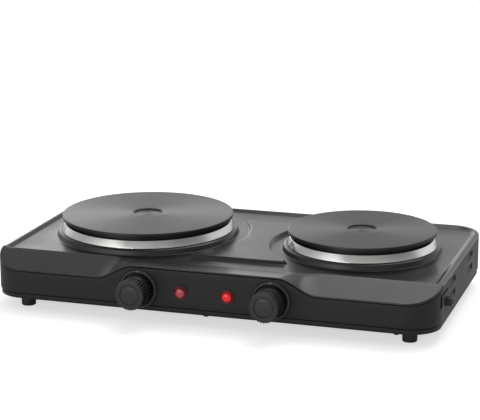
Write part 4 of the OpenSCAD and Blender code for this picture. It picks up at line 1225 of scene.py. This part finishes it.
def makePlate(side):
    # flat face with a shallow hollow in its middle, a rounded edge and a skirt down to the ring
    plate = plates[side]
    r, top, under, foot = plate["radius"], heights["plateTop"], heights["plateUnder"], heights["skirtFoot"]
    hollow, low = plateShape["hollow"], top - plateShape["sunk"]
    profile = [(k * 3.0, low) for k in range(5)]
    profile += rounded([(12.5, low), (hollow - 0.9, low, 0.5), (hollow, top, 0.4), (hollow + 6, top)], 4)
    profile += [(hollow + 6 + k * (r - hollow - 9) / 12, top) for k in range(1, 12)]
    skirt, inner = r - plateShape["skirtIn"], r - plateShape["skirtIn"] - plateShape["skirtWide"]
    profile += rounded([(r - 3, top), (r, top, plateShape["edgeRound"]), (r - 0.2, under, 0.7),
                        (skirt, under, 1.0), (skirt - 0.2, foot, 0.4), (inner, foot, 0.4),
                        (inner, foot + plateShape["skirtHigh"])], 5)
    mesh = meshFrom(side + "CastPlate", *revolve(profile, plate["x"], plate["y"], plateShape["round"]))
    cleanNormals(mesh)
    if sum(p.normal.z * p.area for p in mesh.polygons if p.center.z > (low - 0.2) / 1000) < 0:
        mesh.flip_normals()
    addTurningMap(mesh, side)
    addPiece(side + "CastPlate", mesh, plateIron[side], "root", (side + "_hot_plate",))


def makeRing(side):
    # rolled sheet: a sloping outer wall tucked under the plate, and a flange that lies on the collar
    plate = plates[side]
    r, foot = plate["radius"], heights["ringFoot"]
    top, tuck, flange = foot + ringShape["high"], r - ringShape["tuck"], r - ringShape["flange"]
    upper = foot + ringShape["sheet"]
    profile = rounded([(r + ringShape["out"], foot, 0.3), (tuck + 0.3, top - 0.3, 0.9),
                       (tuck - 1.2, top - 0.3, 0.9), (tuck - 1.5, upper, 0.5), (flange, upper, 0.3),
                       (flange, foot, 0.3), (tuck - 0.7, foot, 0.3), (tuck - 0.6, top - 1.3, 0.2),
                       (r + 0.1, foot, 0.2)], 6, True)
    mesh = meshFrom(side + "TrimRing", *revolve(profile, plate["x"], plate["y"], plateShape["round"], True))
    cleanNormals(mesh)
    addTurningMap(mesh, side)
    addPiece(side + "TrimRing", mesh, ringSteel, "root", (side + "_trim_ring",))


for side in plates:
    makePlate(side)
    makeRing(side)
print("plates and rings made")

# finishes of the solids that keep their own shape; those in pairs exist left and right
pairFinish = {"heating_coil": coilBrown, "ceramic_bed": ceramicWhite, "heat_shield": shieldSteel,
              "plate_stud": zincSteel, "clamp_bridge": shieldSteel, "terminal_block": steatiteWhite,
              "thermostat": steatiteWhite, "control_shaft": zincSteel, "neon_lamp": neonGlass}
singleFinish = {"stud_nuts": zincSteel, "thermostat_screws": zincSteel, "mains_terminal_block": terminalWhite}
nodeFinish = {side + "_" + name: finish for name, finish in pairFinish.items() for side in plates}
for name, material in (nodeFinish | singleFinish).items():
    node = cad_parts[name]
    if not node.material_slots:
        node.data.materials.append(material)
    for slot in node.material_slots:
        slot.material = material
print("finishes set")

# the glows lift the paper to white where the camera or a mirror sees it
stage = {"floorHalf": 6.0, "paper": "#f4f4f4", "cameraGlow": 0.6, "mirrorGlow": 0.12, "worldLevel": 0.4,
         "roomPower": 2.0,
         # brightness of the room by direction, from -1 to 1: right of left, behind, above
         "gradient": {"X": [(-0.85, 0.55), (-0.45, 1.0), (-0.2, 0.45), (0.3, 0.45)],
                      "Y": [(-0.75, 1.0), (-0.15, 0.5), (0.1, 0.5), (0.5, 1.0)],
                      "Z": [(0.25, 1.0), (0.55, 0.5), (0.86, 0.5)]}}


def seenDirectly(tree):
    # 1 where the camera, a glossy surface or clear plastic looks, 0 for the light itself
    path = addNode(tree, "ShaderNodeLightPath")
    seen = path.outputs["Is Camera Ray"]
    for name in ("Is Glossy Ray", "Is Transmission Ray"):
        seen = addNode(tree, "ShaderNodeMath", {"operation": "MAXIMUM"}, None,
                       {0: seen, 1: path.outputs[name]}).outputs["Value"]
    return seen, path.outputs["Is Camera Ray"]


def makeFloor():
    # pale paper that keeps the shadow
    material, tree, output = newMaterial("studioPaper")[:3]
    seen, camera = seenDirectly(tree)
    mirrored = addNode(tree, "ShaderNodeMath", {"operation": "MULTIPLY"}, {1: stage["mirrorGlow"]}, {0: seen})
    glow = addNode(tree, "ShaderNodeMath", {"operation": "MULTIPLY_ADD"},
                   {1: stage["cameraGlow"] - stage["mirrorGlow"]}, {0: camera, 2: mirrored.outputs["Value"]})
    shader = addNode(tree, "ShaderNodeBsdfPrincipled", None,
                     {"Base Color": linear(stage["paper"]), "Roughness": 0.9, "Specular IOR Level": 0.0,
                      "Emission Color": (1, 1, 1, 1)}, {"Emission Strength": glow.outputs["Value"]})
    tree.links.new(shader.outputs["BSDF"], output.inputs["Surface"])
    half = stage["floorHalf"]
    corners = [(-half, -half, 0), (half, -half, 0), (half, half, 0), (-half, half, 0)]
    mesh = bpy.data.meshes.new("floor")
    mesh.from_pydata(corners, [], [(0, 1, 2, 3)])
    mesh.materials.append(material)
    newObject("floor", mesh)


def makeWorld():
    # studio gradient: white at the rear horizon, dimmer overhead and at the sides, white to the camera
    world = bpy.data.worlds.new("studio")
    bpy.context.scene.world = world
    world.use_nodes = True
    tree = world.node_tree
    tree.nodes.clear()
    seen, camera = seenDirectly(tree)
    ray = addNode(tree, "ShaderNodeTexCoord").outputs["Generated"]
    parts = addNode(tree, "ShaderNodeSeparateXYZ", None, None, {0: ray})
    shades = []
    for axis, stops in stage["gradient"].items():
        place = addNode(tree, "ShaderNodeMapRange", None, {"From Min": -1.0}, {"Value": parts.outputs[axis]})
        ramp = addNode(tree, "ShaderNodeValToRGB", None, None, {"Fac": place.outputs["Result"]})
        ramp.color_ramp.interpolation = "EASE"
        setRamp(ramp, [((at + 1) / 2, (value, value, value, 1)) for at, value in stops])
        shades.append(ramp.outputs["Color"])
    both = shades[0]
    for shade in shades[1:]:
        both = addNode(tree, "ShaderNodeVectorMath", {"operation": "MULTIPLY"}, None,
                       {0: both, 1: shade}).outputs["Vector"]
    power = addNode(tree, "ShaderNodeVectorMath", {"operation": "SCALE"}, {"Scale": stage["roomPower"]},
                    {0: both})
    toCamera = addNode(tree, "ShaderNodeMath", {"operation": "MAXIMUM"}, None,
                       {0: power.outputs["Vector"], 1: camera})
    level = addNode(tree, "ShaderNodeMapRange", None, {"To Min": stage["worldLevel"]},
                    {"Value": seen, "To Max": toCamera.outputs["Value"]})
    sky = addNode(tree, "ShaderNodeBackground", None, {"Color": (1, 1, 1, 1)},
                  {"Strength": level.outputs["Result"]})
    out = addNode(tree, "ShaderNodeOutputWorld")
    tree.links.new(sky.outputs["Background"], out.inputs["Surface"])


# soft lamps, in metres and watts
lights = {
    "overhead": {"place": (0.2, 0.75, 1.7), "target": (0, 0, 0.05), "size": 1.4, "power": 13.5},
    "frontLeft": {"place": (-0.45, -2.0, 0.42), "target": (0.05, 0, 0.03), "size": 0.8, "power": 7},
}


def addLight(name, settings):
    data = bpy.data.lights.new(name, "AREA")
    data.shape = "SQUARE"
    data.size = settings["size"]
    data.energy = settings["power"]
    light = newObject(name, data)
    place = Vector(settings["place"])
    aim = (Vector(settings["target"]) - place).to_track_quat("-Z", "Y")
    light.matrix_world = Matrix.Translation(place) @ aim.to_matrix().to_4x4()


# the camera's direction in degrees, its place in metres and its lens in millimetres
view = {"azimuth": 17.93, "elevation": 14.39, "roll": -0.27, "place": (0.52855, -1.63945, 0.5374),
        "lens": 127.23}


def makeCamera():
    azimuth, elevation = math.radians(view["azimuth"]), math.radians(view["elevation"])
    roll = math.radians(view["roll"])
    ahead = Vector((-math.sin(azimuth) * math.cos(elevation), math.cos(azimuth) * math.cos(elevation),
                    -math.sin(elevation)))
    right = Vector((math.cos(azimuth), math.sin(azimuth), 0))
    up = right.cross(ahead)
    turnedRight = right * math.cos(roll) + up * math.sin(roll)
    turnedUp = up * math.cos(roll) - right * math.sin(roll)
    data = bpy.data.cameras.new("camera")
    data.sensor_width = 36.0
    data.sensor_fit = "HORIZONTAL"
    data.lens = view["lens"]
    data.clip_end = 30.0
    camera = newObject("camera", data)
    turn = Matrix((turnedRight, turnedUp, -ahead)).transposed().to_4x4()
    camera.matrix_world = Matrix.Translation(Vector(view["place"])) @ turn
    bpy.context.scene.camera = camera


makeFloor()
makeWorld()
for name, settings in lights.items():
    addLight(name, settings)
makeCamera()
bpy.context.scene.view_settings.view_transform = "Standard"
print("stage ready")
